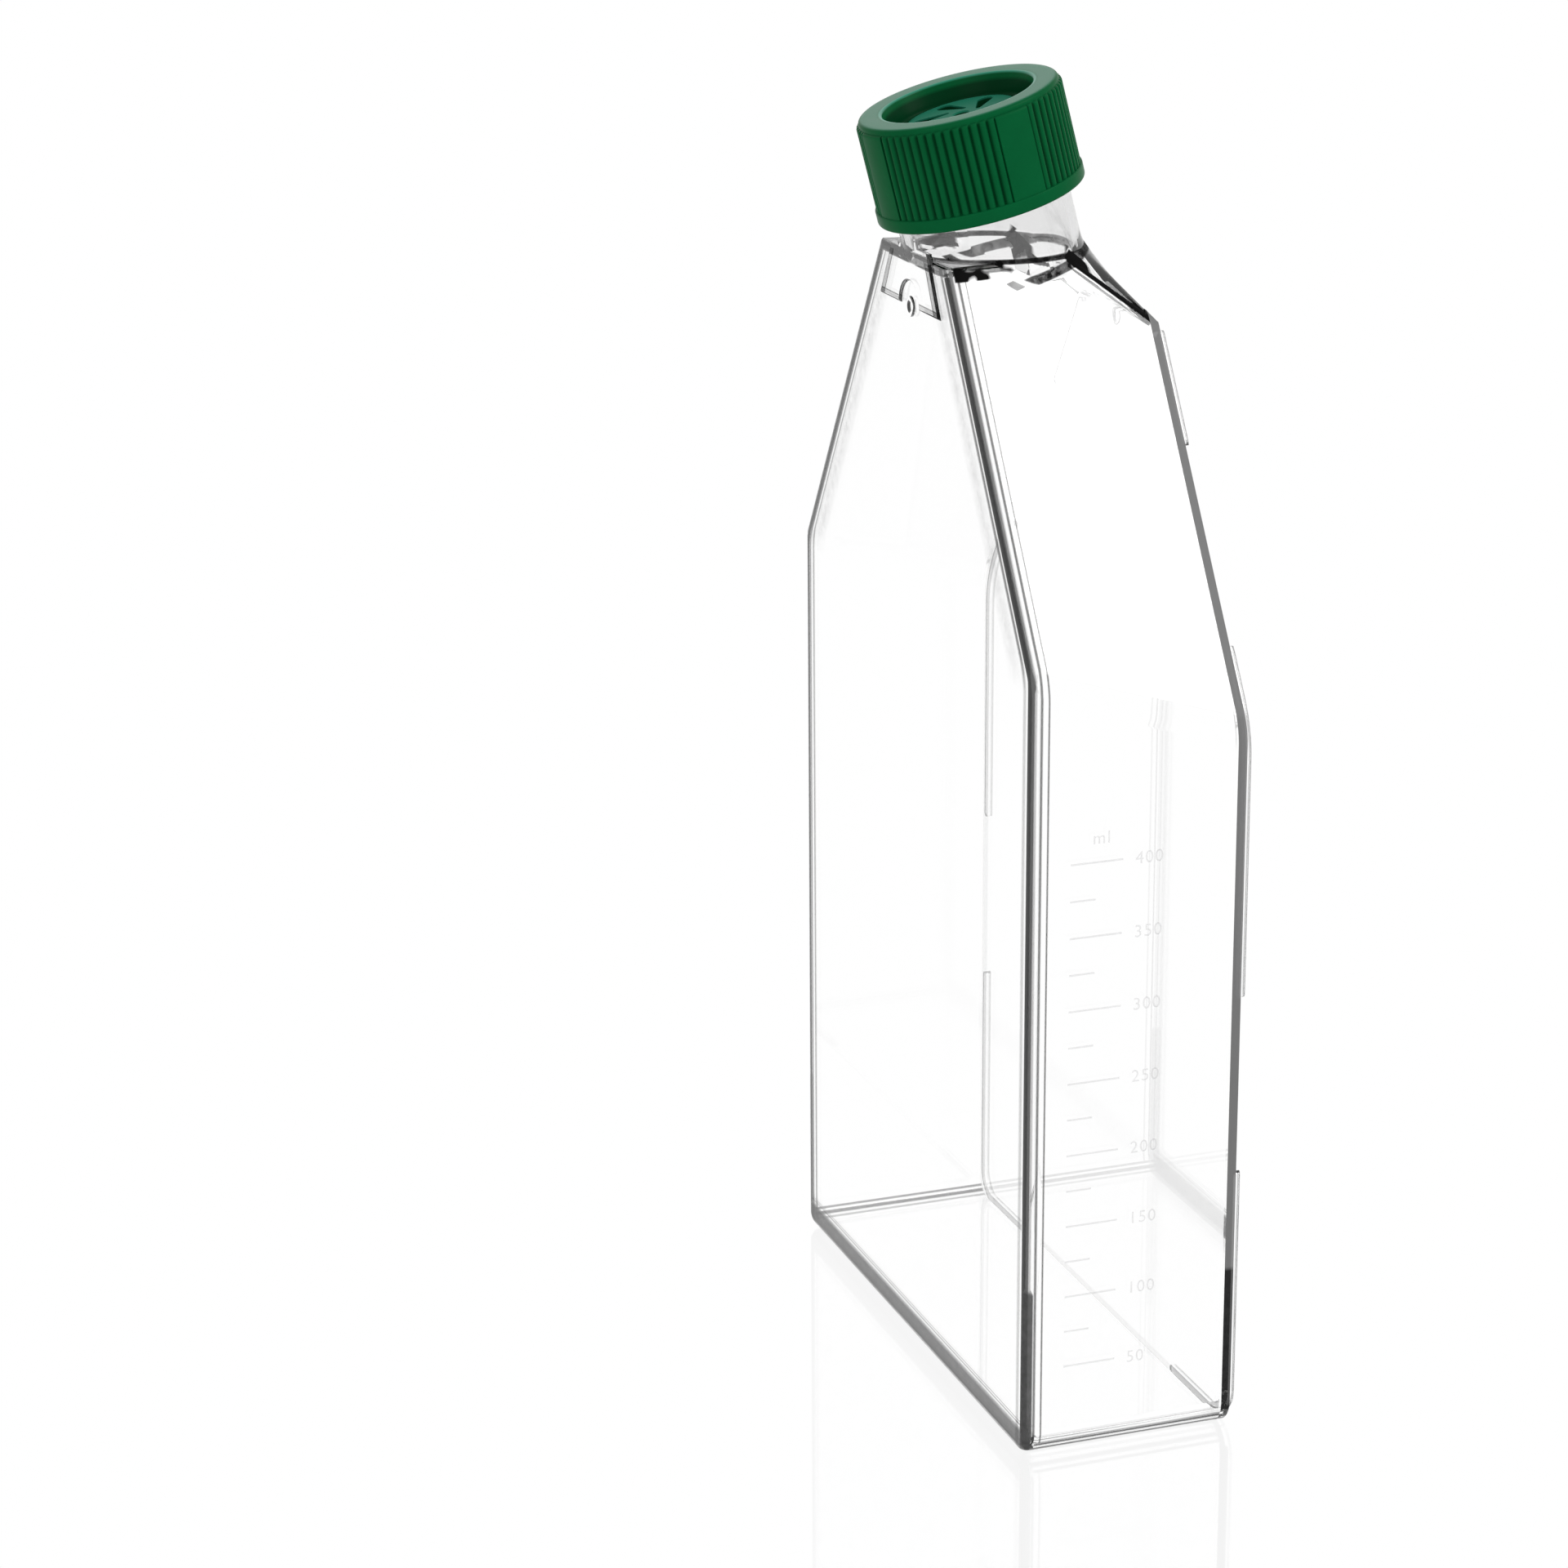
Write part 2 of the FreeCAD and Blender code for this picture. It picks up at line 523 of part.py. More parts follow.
def make_flask_body(outside, plate_space):
    """The vessel: shell, ramp, neck with its thread, cavity and bore, graduations and raised panel."""
    neck = on_neck_cylinder("neck_tube", "NeckRadius", "-CapSeat / 2", "NeckLength + CapSeat / 2")
    ridge = thread_ridge("neck_thread_ridge", "NeckRadius", "ThreadHeight", THREAD_START,
                         "NeckThreadTurns")
    thread = place_on_neck(gathered("neck_thread", [ridge]), "0")
    solid = fused("vessel_block", [outside, ramp_cone("ramp_crown", "0", "NeckRadius + RootStep"), neck])
    walls = boolean("Cut", "vessel_without_plate", solid, plate_space)
    hollow = fused("hollow", [vessel_solid("cavity", "WallThick", "BaseThick"),
                              ramp_cone("ramp_hollow", "WallThick", BORE_RADIUS),
                              on_neck_cylinder("bore", BORE_RADIUS, "-CapSeat / 2", "NeckLength + CapSeat")])
    shell = boolean("Cut", "vessel_shell", walls, hollow)
    return joined("flask_body", shell, [thread] + raised_panel() + [gathered("scale_lines", graduations())])


# ---------------------------------------------------------------- growth plate
def foot_run(name, start, end):
    """One straight run of the foot rim between two points, each given as (across, height) formulas."""
    sketch = placed_sketch(f"{name}_profile")
    (y0, z0), (y1, z1) = start, end
    length = f"sqrt(({y1} - ({y0})) ^ 2 + ({z1} - ({z0})) ^ 2)"
    dy = f"({z1} - ({z0})) / {length} * FootWidth / 2"
    dz = f"({y1} - ({y0})) / {length} * FootWidth / 2"
    closed_polygon(sketch, [(f"{y0} - {dy}", f"{z0} + {dz}"), (f"{y1} - {dy}", f"{z1} + {dz}"),
                            (f"{y1} + {dy}", f"{z1} - {dz}"), (f"{y0} + {dy}", f"{z0} - {dz}")])
    sketch.Placement = FreeCAD.Placement(FreeCAD.Vector(), UPRIGHT_YZ)
    bind(sketch, Placement__Base__x=f"{HALF_DEPTH}")
    return extruded(name, sketch, FreeCAD.Vector(1, 0, 0), "2 * FootHeight")


def foot_corner(name, across, height):
    """A round end or corner of the foot rim."""
    solid = doc.addObject("Part::Cylinder", name)
    solid.Placement = FreeCAD.Placement(FreeCAD.Vector(), FreeCAD.Rotation(FreeCAD.Vector(0, 1, 0), 90))
    return bind(solid, Radius="FootWidth / 2", Height="2 * FootHeight",
                Placement__Base__x=f"{HALF_DEPTH} - FootHeight", Placement__Base__y=across,
                Placement__Base__z=height)


def foot_rim(side):
    """The foot rim on one side of the growth plate: beside the ramp, round the bend, and at the base."""
    line = "(FootInset + FootWidth / 2)"
    root = f"sqrt(1 + ({TAPER}) ^ 2)"
    bend_height = f"(ShoulderStart - ({BEND_FALL}) - {line} * ({root} - 1) / ({TAPER}))"
    top_height = f"({RAMP_FOOT} - {line})"

    def on_taper(height):
        return f"(BodyWidth / 2 - {line} - ({TAPER}) * ({height} - {bend_height}))"

    straight = f"(BodyWidth / 2 - {line})"
    slope = f"(1 / {root})"
    run_end = f"({top_height} - FootShoulderRun * {slope})"
    bend_start = f"({run_end} - FootShoulderGap * {slope})"
    corners = [
        [(on_taper(top_height), top_height), (on_taper(run_end), run_end)],
        [(on_taper(bend_start), bend_start), (straight, bend_height), (straight, "FootSideTop")],
        [(straight, "FootSideLow"), (straight, f"(CornerRadius + {line})"),
         (f"({straight} - CornerRadius)", line), (f"({straight} - FootBaseRun)", line)],
    ]
    made = []
    for run, points in enumerate(corners):
        points = [(f"{side} * {across}", height) for across, height in points]
        for step, (start, end) in enumerate(zip(points, points[1:])):
            made.append(foot_run(f"foot_{'left' if side > 0 else 'right'}_{run}_{step}", start, end))
        for step, (across, height) in enumerate(points):
            made.append(foot_corner(f"foot_round_{'left' if side > 0 else 'right'}_{run}_{step}",
                                    across, height))
    return made


def make_growth_plate(outside, plate_space):
    """The welded plate: a slice of the vessel's outline, with its foot rim and gate mark."""
    slab = boolean("Common", "plate_slab", outside, plate_space)
    mark = gate_disc("plate_gate_mark", "GateRadius", HALF_DEPTH, "GateRise", f"{RAMP_FOOT} - GateRadius")
    return joined("growth_plate", slab, [mark, fused("foot_rims", foot_rim(1) + foot_rim(-1))])


# ---------------------------------------------------------------- cap
def cap_round(body, kind, name, radius, start, height, top_radius=None):
    """A cylinder or cone feature of the cap, from a height above the cap's lower edge."""
    shape = "Cone" if top_radius else "Cylinder"
    feature = body.newObject(f"PartDesign::{kind}{shape}", name)
    feature.AttachmentSupport = [(origin_feature(body, "XY_Plane"), "")]
    feature.MapMode = "FlatFace"
    bind(feature, AttachmentOffset__Base__z=start, Height=height)
    if top_radius:
        bind(feature, Radius1=radius, Radius2=top_radius)
    else:
        bind(feature, Radius=radius)
    return feature


def polar(body, name, features, groups):
    """Repeat features round the cap's axis: one pattern inside the next, each (count, angle)."""
    patterns = []
    for index, (count, angle) in enumerate(groups):
        pattern = body.newObject("PartDesign::PolarPattern", f"{name}_{index}")
        pattern.Axis = (origin_feature(body, "Z_Axis"), [""])
        bind(pattern, Occurrences=count, Angle=angle)
        patterns.append(pattern)
    if len(patterns) == 1:
        patterns[0].Originals = features
        body.Tip = patterns[0]
        return patterns[0]
    multi = body.newObject("PartDesign::MultiTransform", name)
    multi.Originals = features
    multi.Transformations = patterns
    body.Tip = multi
    return multi


def grip(body):
    """Ribs in groups, with smooth panels between them, all standing out of the skirt."""
    sketch = placed_sketch("rib_profile", body)
    gap = "(360 / PanelCount - PanelAngle - (RibsPerGroup - 1) * RibPitch) / 2"
    first = f"(PanelPhase + PanelAngle / 2 + {gap})"
    reach = "(SkirtRadius + RibProud - RibRadius)"
    circle(sketch, f"{reach} * cos({first})", f"{reach} * sin({first})", "RibRadius")
    bind(sketch, AttachmentOffset__Base__z="BandHeight")
    rib = body.newObject("PartDesign::Pad", "rib")
    rib.Profile = sketch
    bind(rib, Length=RIB_LENGTH)
    doc.recompute()
    polar(body, "ribs", [rib], [("RibsPerGroup", "(RibsPerGroup - 1) * RibPitch"), ("PanelCount", "360")])

    sketch = placed_sketch("panel_sector_profile", body)
    inner = "(SkirtRadius - RibProud)"
    outer = "(SkirtRadius + RibProud)"
    closed_polygon(sketch, [(f"{radius} * cos({turn})", f"{radius} * sin({turn})")
                            for radius, turn in sector_corners(inner, outer)])
    bind(sketch, AttachmentOffset__Base__z="BandHeight")
    panel = body.newObject("PartDesign::Pad", "smooth_panel")
    panel.Profile = sketch
    bind(panel, Length=RIB_LENGTH)
    doc.recompute()
    polar(body, "smooth_panels", [panel], [("PanelCount", "360")])


def sector_corners(inner, outer, facets=6):
    """Corners of a ring sector as wide as a smooth panel: along its outer arc, then back inside."""
    turns = [f"(PanelPhase + PanelAngle * {step / facets - 0.5:.4f})" for step in range(facets + 1)]
    return [(outer, turn) for turn in turns] + [(inner, turns[-1]), (inner, turns[0])]


def vents(body):
    """Teardrop openings through the disc, swept like a pinwheel."""
    sketch = placed_sketch("vent_profile", body)
    ends = [("VentInner", "0", "VentTip"), ("VentOuter", "VentSweep", "VentBulb")]
    corners = []
    for side in (-1, 1):
        for reach, turn, radius in (ends if side < 0 else ends[::-1]):
            corners.append((f"{reach} * cos({turn}) + {side} * {radius} * {VENT_NORMAL[0]}",
                            f"{reach} * sin({turn}) + {side} * {radius} * {VENT_NORMAL[1]}"))
    closed_polygon(sketch, corners)
    bind(sketch, AttachmentOffset__Base__z=CAP_HEIGHT)
    slot = body.newObject("PartDesign::Pocket", "vent_slot")
    slot.Profile = sketch
    bind(slot, Length="RecessDepth + FloorThick + DiscRise")
    doc.recompute()
    bulb_sketch = placed_sketch("vent_bulb_profile", body)
    circle(bulb_sketch, "VentOuter * cos(VentSweep)", "VentOuter * sin(VentSweep)", "VentBulb")
    bind(bulb_sketch, AttachmentOffset__Base__z=CAP_HEIGHT)
    bulb = body.newObject("PartDesign::Pocket", "vent_bulb")
    bulb.Profile = bulb_sketch
    bind(bulb, Length="RecessDepth + FloorThick + DiscRise")
    doc.recompute()
    polar(body, "vent_openings", [slot, bulb], [("VentCount", "360")])


VENT_SPAN = ("sqrt((VentOuter * cos(VentSweep) - VentInner) ^ 2 + (VentOuter * sin(VentSweep)) ^ 2)")
VENT_NORMAL = (f"(VentOuter * sin(VentSweep)) / {VENT_SPAN}",
               f"(VentInner - VentOuter * cos(VentSweep)) / {VENT_SPAN}")


def make_cap():
    """The screw cap, drawn upright round Z from its lower edge and then set on the neck."""
    body = doc.addObject("PartDesign::Body", "cap_without_thread")
    cap_round(body, "Additive", "skirt", "SkirtRadius", "0", f"{CAP_HEIGHT} - RimHeight")
    cap_round(body, "Additive", "band", "SkirtRadius + BandProud", "0", "BandHeight")
    doc.recompute()
    grip(body)
    rim_radius = "SkirtRadius + RimProud"
    cap_round(body, "Additive", "rim_side", rim_radius, f"{CAP_HEIGHT} - RimHeight", "RimHeight - RimRound")
    cap_round(body, "Additive", "rim_top", rim_radius, f"{CAP_HEIGHT} - RimRound", "RimRound",
              f"{rim_radius} - RimRound")
    cap_round(body, "Subtractive", "thread_bore", CAP_BORE, "0", CAP_TOP_UNDER)
    cap_round(body, "Additive", "plug", PLUG_RADIUS, CAP_UNDER, f"{CAP_TOP_UNDER} - ({CAP_UNDER}) + TopThick / 2")
    cap_round(body, "Subtractive", "recess", "RecessFloor", f"{CAP_HEIGHT} - RecessDepth", "RecessDepth",
              "RecessMouth")
    cap_round(body, "Additive", "vented_disc", "DiscRadius", f"{CAP_HEIGHT} - RecessDepth - FloorThick / 2",
              "DiscRise + FloorThick / 2")
    cap_round(body, "Subtractive", "disc_chamber", "DiscRadius - DiscThick", CAP_UNDER,
              f"{CAP_HEIGHT} - RecessDepth + DiscRise - DiscThick - ({CAP_UNDER})")
    doc.recompute()
    vents(body)
    doc.recompute()
    return body


def make_threaded_cap(plain):
    """The cap with its inside thread."""
    start = f"{THREAD_START} + ThreadPitch / 2 - CapSeat"
    ridge = thread_ridge("cap_thread_ridge", CAP_BORE, "-ThreadHeight", start, "CapThreadTurns")
    whole = place_on_neck(boolean("Fuse", "threaded_cap", plain, ridge), "CapSeat")
    whole.Label = "cap"
    return whole


def make_membrane():
    """The filter membrane under the cap's plug."""
    disc = on_neck_cylinder("vent_membrane", f"{PLUG_RADIUS} - MembraneMargin",
                            f"CapSeat + {CAP_UNDER} - MembraneGap - MembraneThick", "MembraneThick")
    disc.Label = "vent_membrane"
    return disc


# ---------------------------------------------------------------- assembly
shell_outside = vessel_solid("outside", "0", "0")
weld_space = box("plate_space", (f"{HALF_DEPTH} - PlateThick", "-BodyWidth", "-BodyWidth"),
                 ("BodyDepth", "2 * BodyWidth", f"BodyWidth + {RAMP_FOOT}"))
nodes = [
    make_flask_body(shell_outside, weld_space),
    make_growth_plate(shell_outside, weld_space),
    make_threaded_cap(make_cap()),
    make_membrane(),
]
doc.recompute()

for item in doc.Objects:
    if "Invalid" in item.State or "Error" in item.State:
        raise RuntimeError(f"{item.Name} failed: {item.State}")
os.makedirs("parts", exist_ok=True)
for node in nodes:
    shape = node.Shape
    if shape.isNull() or not shape.isValid():
        raise RuntimeError(f"{node.Label} has no valid shape")
    shape.exportStep(f"parts/{node.Label}.step")
    print(node.Label, len(shape.Solids), "solid,", round(shape.Volume / 1000, 2), "cm3", shape.BoundBox)
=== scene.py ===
import json
import math

import bmesh
import bpy
import numpy as np
from mathutils import Matrix, Vector


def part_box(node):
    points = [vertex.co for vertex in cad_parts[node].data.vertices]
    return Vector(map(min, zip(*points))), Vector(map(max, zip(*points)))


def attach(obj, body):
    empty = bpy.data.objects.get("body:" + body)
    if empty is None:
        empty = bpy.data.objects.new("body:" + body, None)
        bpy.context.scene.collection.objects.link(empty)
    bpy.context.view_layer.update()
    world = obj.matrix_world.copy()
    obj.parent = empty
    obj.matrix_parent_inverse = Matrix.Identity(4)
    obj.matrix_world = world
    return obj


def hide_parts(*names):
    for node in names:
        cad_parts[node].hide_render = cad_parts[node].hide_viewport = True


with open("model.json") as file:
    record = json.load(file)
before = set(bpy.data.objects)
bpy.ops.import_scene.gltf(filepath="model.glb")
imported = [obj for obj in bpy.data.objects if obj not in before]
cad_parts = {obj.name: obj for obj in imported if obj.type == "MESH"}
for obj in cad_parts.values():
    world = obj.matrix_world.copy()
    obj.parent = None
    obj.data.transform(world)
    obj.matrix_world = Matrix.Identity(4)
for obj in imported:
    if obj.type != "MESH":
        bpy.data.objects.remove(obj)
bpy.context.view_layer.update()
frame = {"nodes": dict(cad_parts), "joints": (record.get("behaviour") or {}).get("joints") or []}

bl_info = {
    "name": "Cell culture flask",
    "version": (1, 0, 0),
    "blender": (4, 5, 0),
    "location": "View3D > Sidebar > Flask",
    "description": "Dresses a cell culture flask: vessel, growth plate, vented screw cap, stage",
    "category": "Object",
}

MM = 0.001
TURN = next(joint for joint in frame["joints"] if joint["name"] == "cap_turn")
CAP_AXIS = np.array(TURN["axis"])
CAP_SEAT = np.array(TURN["pos_m"])
SIDE_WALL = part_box("flask_body")[0].y                 # outer face of the raised graduations

# The body's own sizes in millimetres, as in the CAD.
HALF_DEPTH, HALF_WIDTH, HALF_END = 19.5, 55.8, 16.2   # the last is half the flat end's width
WALL, FLOOR, PLATE = 1.6, 1.7, 1.8
BEND, SHOULDER, LEAN = 134.2, 62.0, math.radians(17.5)
TAPER = (HALF_WIDTH - HALF_END) / SHOULDER
END, RAMP_START, RAMP_FOOT = 201.4, 4.2, 189.6
RAMP_SLOPE = (END - RAMP_FOOT) / (HALF_DEPTH - RAMP_START)
BASE_CORNER, RIM_INSET = 5.0, 1.6
PANEL_FOOT, PANEL_TOP, PANEL_FLARE = 192.2, 202.6, 0.5385
PANEL_HALF_FOOT, PANEL_HALF_TOP, PANEL_NOTCH = 14.0, 8.4, 4.4
TOP_GATE, PLATE_GATE, GATE_RADIUS = PANEL_FOOT, RAMP_FOOT - 1.9, 1.8

# The neck's own sizes in millimetres.
NECK_AXIS, NECK_ROOT = CAP_AXIS, np.array([-3.7, 0.0, 198.4])
NECK_RADIUS, BORE_RADIUS, NECK_LENGTH = 15.1, 13.5, 28.2
THREAD_START, THREAD_LEAD, THREAD_TURNS = 14.6, 5.0, 2.25

# The cap's recess and its vented disc in millimetres.
RECESS, DISC_RADIUS, DISC_RISE, DISC_UNDER, VENTS = 4.0, 10.9, 1.0, 12.7, 6

# The volume scale: its lines, millilitres from one to the next, and the ink's height in metres.
LONG_LINES, VOLUME_STEP, INK = 8, 50, 0.01 * MM


# ------------------------ sizes and colours
class VesselSettings(bpy.types.PropertyGroup):
    tint: bpy.props.FloatVectorProperty(
        name="Tint", description="Colour of the clear polystyrene", subtype="COLOR",
        default=(1.0, 1.0, 1.0))
    index: bpy.props.FloatProperty(
        name="Refractive index", description="Refractive index of polystyrene", default=1.59)


class CapSettings(bpy.types.PropertyGroup):
    colour: bpy.props.FloatVectorProperty(
        name="Colour", description="Pigment of the moulded cap", subtype="COLOR",
        default=(0.0012, 0.088, 0.026))
    # Painted highlight: the paler green where light catches the top ring, its lips and the vented
    # disc.
    pale: bpy.props.FloatVectorProperty(
        name="Pale colour", description="Green of the top ring, its lips and the vented disc",
        subtype="COLOR", default=(0.025, 0.27, 0.17))
    skirt: bpy.props.FloatProperty(
        name="Skirt radius", description="Radius between the ribs, in millimetres", default=17.42)
    crest: bpy.props.FloatProperty(
        name="Rib crest radius", description="Radius over the ribs, in millimetres", default=17.9)
    rib_pitch: bpy.props.FloatProperty(
        name="Rib pitch", description="Angle from rib to rib",
        default=math.radians(5.0), subtype="ANGLE")
    ribs: bpy.props.IntProperty(
        name="Ribs per group", description="Ribs between two smooth panels", default=14)
    panel_turn: bpy.props.FloatProperty(
        name="Panel turn", description="Turn of the first smooth panel",
        default=math.radians(8.3), subtype="ANGLE")
    height: bpy.props.FloatProperty(
        name="Height", description="Cap height, in millimetres", default=18.2)


class PrintSettings(bpy.types.PropertyGroup):
    ink: bpy.props.FloatVectorProperty(
        name="Ink", description="Colour of the volume scale", subtype="COLOR",
        default=(0.32, 0.32, 0.33))
    strength: bpy.props.FloatProperty(
        name="Ink strength", description="Opacity of the volume scale", subtype="FACTOR",
        default=0.24)
    top: bpy.props.FloatProperty(
        name="Top line", description="Height of the uppermost line, in millimetres", default=108.0)
    step: bpy.props.FloatProperty(
        name="Step", description="From one long line to the next, in millimetres", default=13.0)


class StageSettings(bpy.types.PropertyGroup):
    sky: bpy.props.FloatProperty(
        name="Soft light", description="Strength of the surrounding light", default=0.75)
    key: bpy.props.FloatProperty(
        name="Key light", description="Power of the large lamp", default=9.0, unit="POWER")
    gloss: bpy.props.FloatProperty(
        name="Floor gloss", description="Share of the floor that mirrors", subtype="FACTOR",
        default=0.10)


SETTINGS = {
    "flask_vessel": VesselSettings,
    "flask_cap": CapSettings,
    "flask_print": PrintSettings,
    "flask_stage": StageSettings,
}


# ------------------------ shader sockets as numbers
class Wire:
    """A shader socket that takes part in arithmetic: each operator adds its Math node."""

    def __init__(self, tree, socket):
        self.tree, self.socket = tree, socket

    def _math(self, operation, *values):
        made = node(self.tree, "ShaderNodeMath", {"operation": operation}, dict(enumerate(values)))
        return Wire(self.tree, made.outputs[0])

    def __add__(self, other):
        return self._math("ADD", self, other)

    __radd__ = __add__

    def __mul__(self, other):
        return self._math("MULTIPLY", self, other)

    __rmul__ = __mul__

    def __sub__(self, other):
        return self._math("SUBTRACT", self, other)

    def __rsub__(self, other):
        return self._math("SUBTRACT", other, self)

    def __truediv__(self, other):
        return self._math("DIVIDE", self, other)

    def __pow__(self, other):
        return self._math("POWER", self, other)

    def most(self, other):
        return self._math("MAXIMUM", self, other)

    def least(self, other):
        return self._math("MINIMUM", self, other)

    def size(self):
        return self._math("ABSOLUTE", self)


def node(tree, kind, settings=None, values=None):
    """One shader node: its settings first, then its sockets' values or links."""
    made = tree.nodes.new(kind)
    for name, value in (settings or {}).items():
        setattr(made, name, value)
    for key, value in (values or {}).items():
        if isinstance(value, Wire):
            tree.links.new(value.socket, made.inputs[key])
        elif isinstance(value, bpy.types.NodeSocket):
            tree.links.new(value, made.inputs[key])
        else:
            made.inputs[key].default_value = value
    return made


def new_material(name):
    """An empty node material and its tree."""
    material = bpy.data.materials.new(name)
    material.use_nodes = True
    material.node_tree.nodes.clear()
    return material, material.node_tree


def output(tree, surface):
    """The material's output."""
    node(tree, "ShaderNodeOutputMaterial", values={"Surface": surface})


def place_of(tree):
    """Object coordinates."""
    return node(tree, "ShaderNodeTexCoord").outputs["Object"]


def noise(tree, scale, detail=3.0, roughness=0.5):
    """Soft noise on Object coordinates, as a wire."""
    made = node(tree, "ShaderNodeTexNoise", values={
        "Vector": place_of(tree), "Scale": scale, "Detail": detail, "Roughness": roughness})
    return Wire(tree, made.outputs["Fac"])


def bump(tree, height, strength, distance):
    """A bump node fed by a wire."""
    made = node(tree, "ShaderNodeBump", values={
        "Strength": strength, "Distance": distance, "Height": height})
    return made.outputs["Normal"]


def mixed(tree, share, *colours):
    """One colour going over to another by a wire; each is a socket or three numbers."""
    first, second = (colour if isinstance(colour, bpy.types.NodeSocket) else (*colour, 1.0)
                     for colour in colours)
    made = node(tree, "ShaderNodeMix", {"data_type": "RGBA"}, {0: share, 6: first, 7: second})
    return made.outputs[2]


def greys(tree, first, *steps):
    """A grey that goes over to the next by each step's wire: (wire, grey) pairs after the first."""
    colour = (first,) * 3
    for share, grey in steps:
        colour = mixed(tree, share, colour, (grey,) * 3)
    return colour


# ------------------------ materials
def band(value, low, high, soft=0.08):
    """1 where a wire lies between two numbers, fading over a soft width, else 0."""
    rise = ((value - (low - soft)) / (2 * soft)).most(0.0).least(1.0)
    fall = (((high + soft) - value) / (2 * soft)).most(0.0).least(1.0)
    return rise * fall


def bands(value, *rows):
    """The sum of several bands of one wire: rows of strength, low, high and, if given, soft."""
    made = [strength * band(value, *span) for strength, *span in rows]
    return sum(made[1:], made[0])


def moulded_edges(tree):
    """Places on the body in millimetres, as wires.

    They are the coordinates, the depths below the side walls, the top wall, the flat end and the
    ramp, and the height over the bend's slanting line.
    """
    place = node(tree, "ShaderNodeSeparateXYZ", values={0: place_of(tree)})
    x, y, z = (Wire(tree, place.outputs[axis]) * 1000.0 for axis in range(3))
    rise = z + x * math.tan(LEAN) - BEND
    bent = (rise + 3.0).most(0.0).least(6.0) ** 2 / 12.0 + (rise - 3.0).most(0.0)
    return {
        "x": x, "y": y, "z": z, "rise": rise,
        "side": HALF_WIDTH - TAPER * bent - y.size(),
        "top": x + HALF_DEPTH,
        "end": END - z,
        "ramp": ((END - z) - RAMP_SLOPE * (x - RAMP_START)) / math.hypot(RAMP_SLOPE, 1),
    }


def off_axis(tree, root, axis):
    """Distances from an axis and along it from its root, in millimetres, as wires."""
    away = node(tree, "ShaderNodeVectorMath", {"operation": "SUBTRACT"}, {
        0: place_of(tree), 1: tuple(root)})
    along = node(tree, "ShaderNodeVectorMath", {"operation": "DOT_PRODUCT"}, {
        0: away.outputs[0], 1: tuple(axis)})
    length = node(tree, "ShaderNodeVectorMath", {"operation": "DOT_PRODUCT"}, {
        0: away.outputs[0], 1: away.outputs[0]})
    along, square = Wire(tree, along.outputs["Value"]), Wire(tree, length.outputs["Value"])
    return (square - along * along).most(0.0) ** 0.5 * 1000.0, along * 1000.0


def clear_plastic(name, settings, painted_shade):
    """Polished clear polystyrene, with painted shade at fixed places on it.

    The painted shade gives three things.  The shade wire darkens what passes through, where light is
    lost along edges.  The skin share wire puts an opaque matt skin of painted shade on edges and other
    places that look dark, and the colour is that skin's, from grey to nearly black.
    """
    material, tree = new_material(name)
    shade, shade_skin_share, shade_skin_colour = painted_shade(tree)
    # The tint goes to black where the painted shade is.
    tint = mixed(tree, shade * (2.0 - shade), settings.tint, (0.0, 0.0, 0.0))
    glass = node(tree, "ShaderNodeBsdfPrincipled", values={
        "Base Color": tint, "Transmission Weight": 1.0, "IOR": settings.index, "Roughness": 0.0})
    # An opaque matt skin of painted shade, where the clear plastic looks dark.
    shade_skin = node(tree, "ShaderNodeBsdfPrincipled", values={
        "Base Color": shade_skin_colour, "Roughness": 0.6, "Specular IOR Level": 0.02,
        "Normal": bump(tree, noise(tree, 1500.0, 1.0), 0.3, 0.00005)})
    both = node(tree, "ShaderNodeMixShader", values={
        0: shade_skin_share, 1: glass.outputs[0], 2: shade_skin.outputs[0]})
    output(tree, both.outputs[0])
    return material


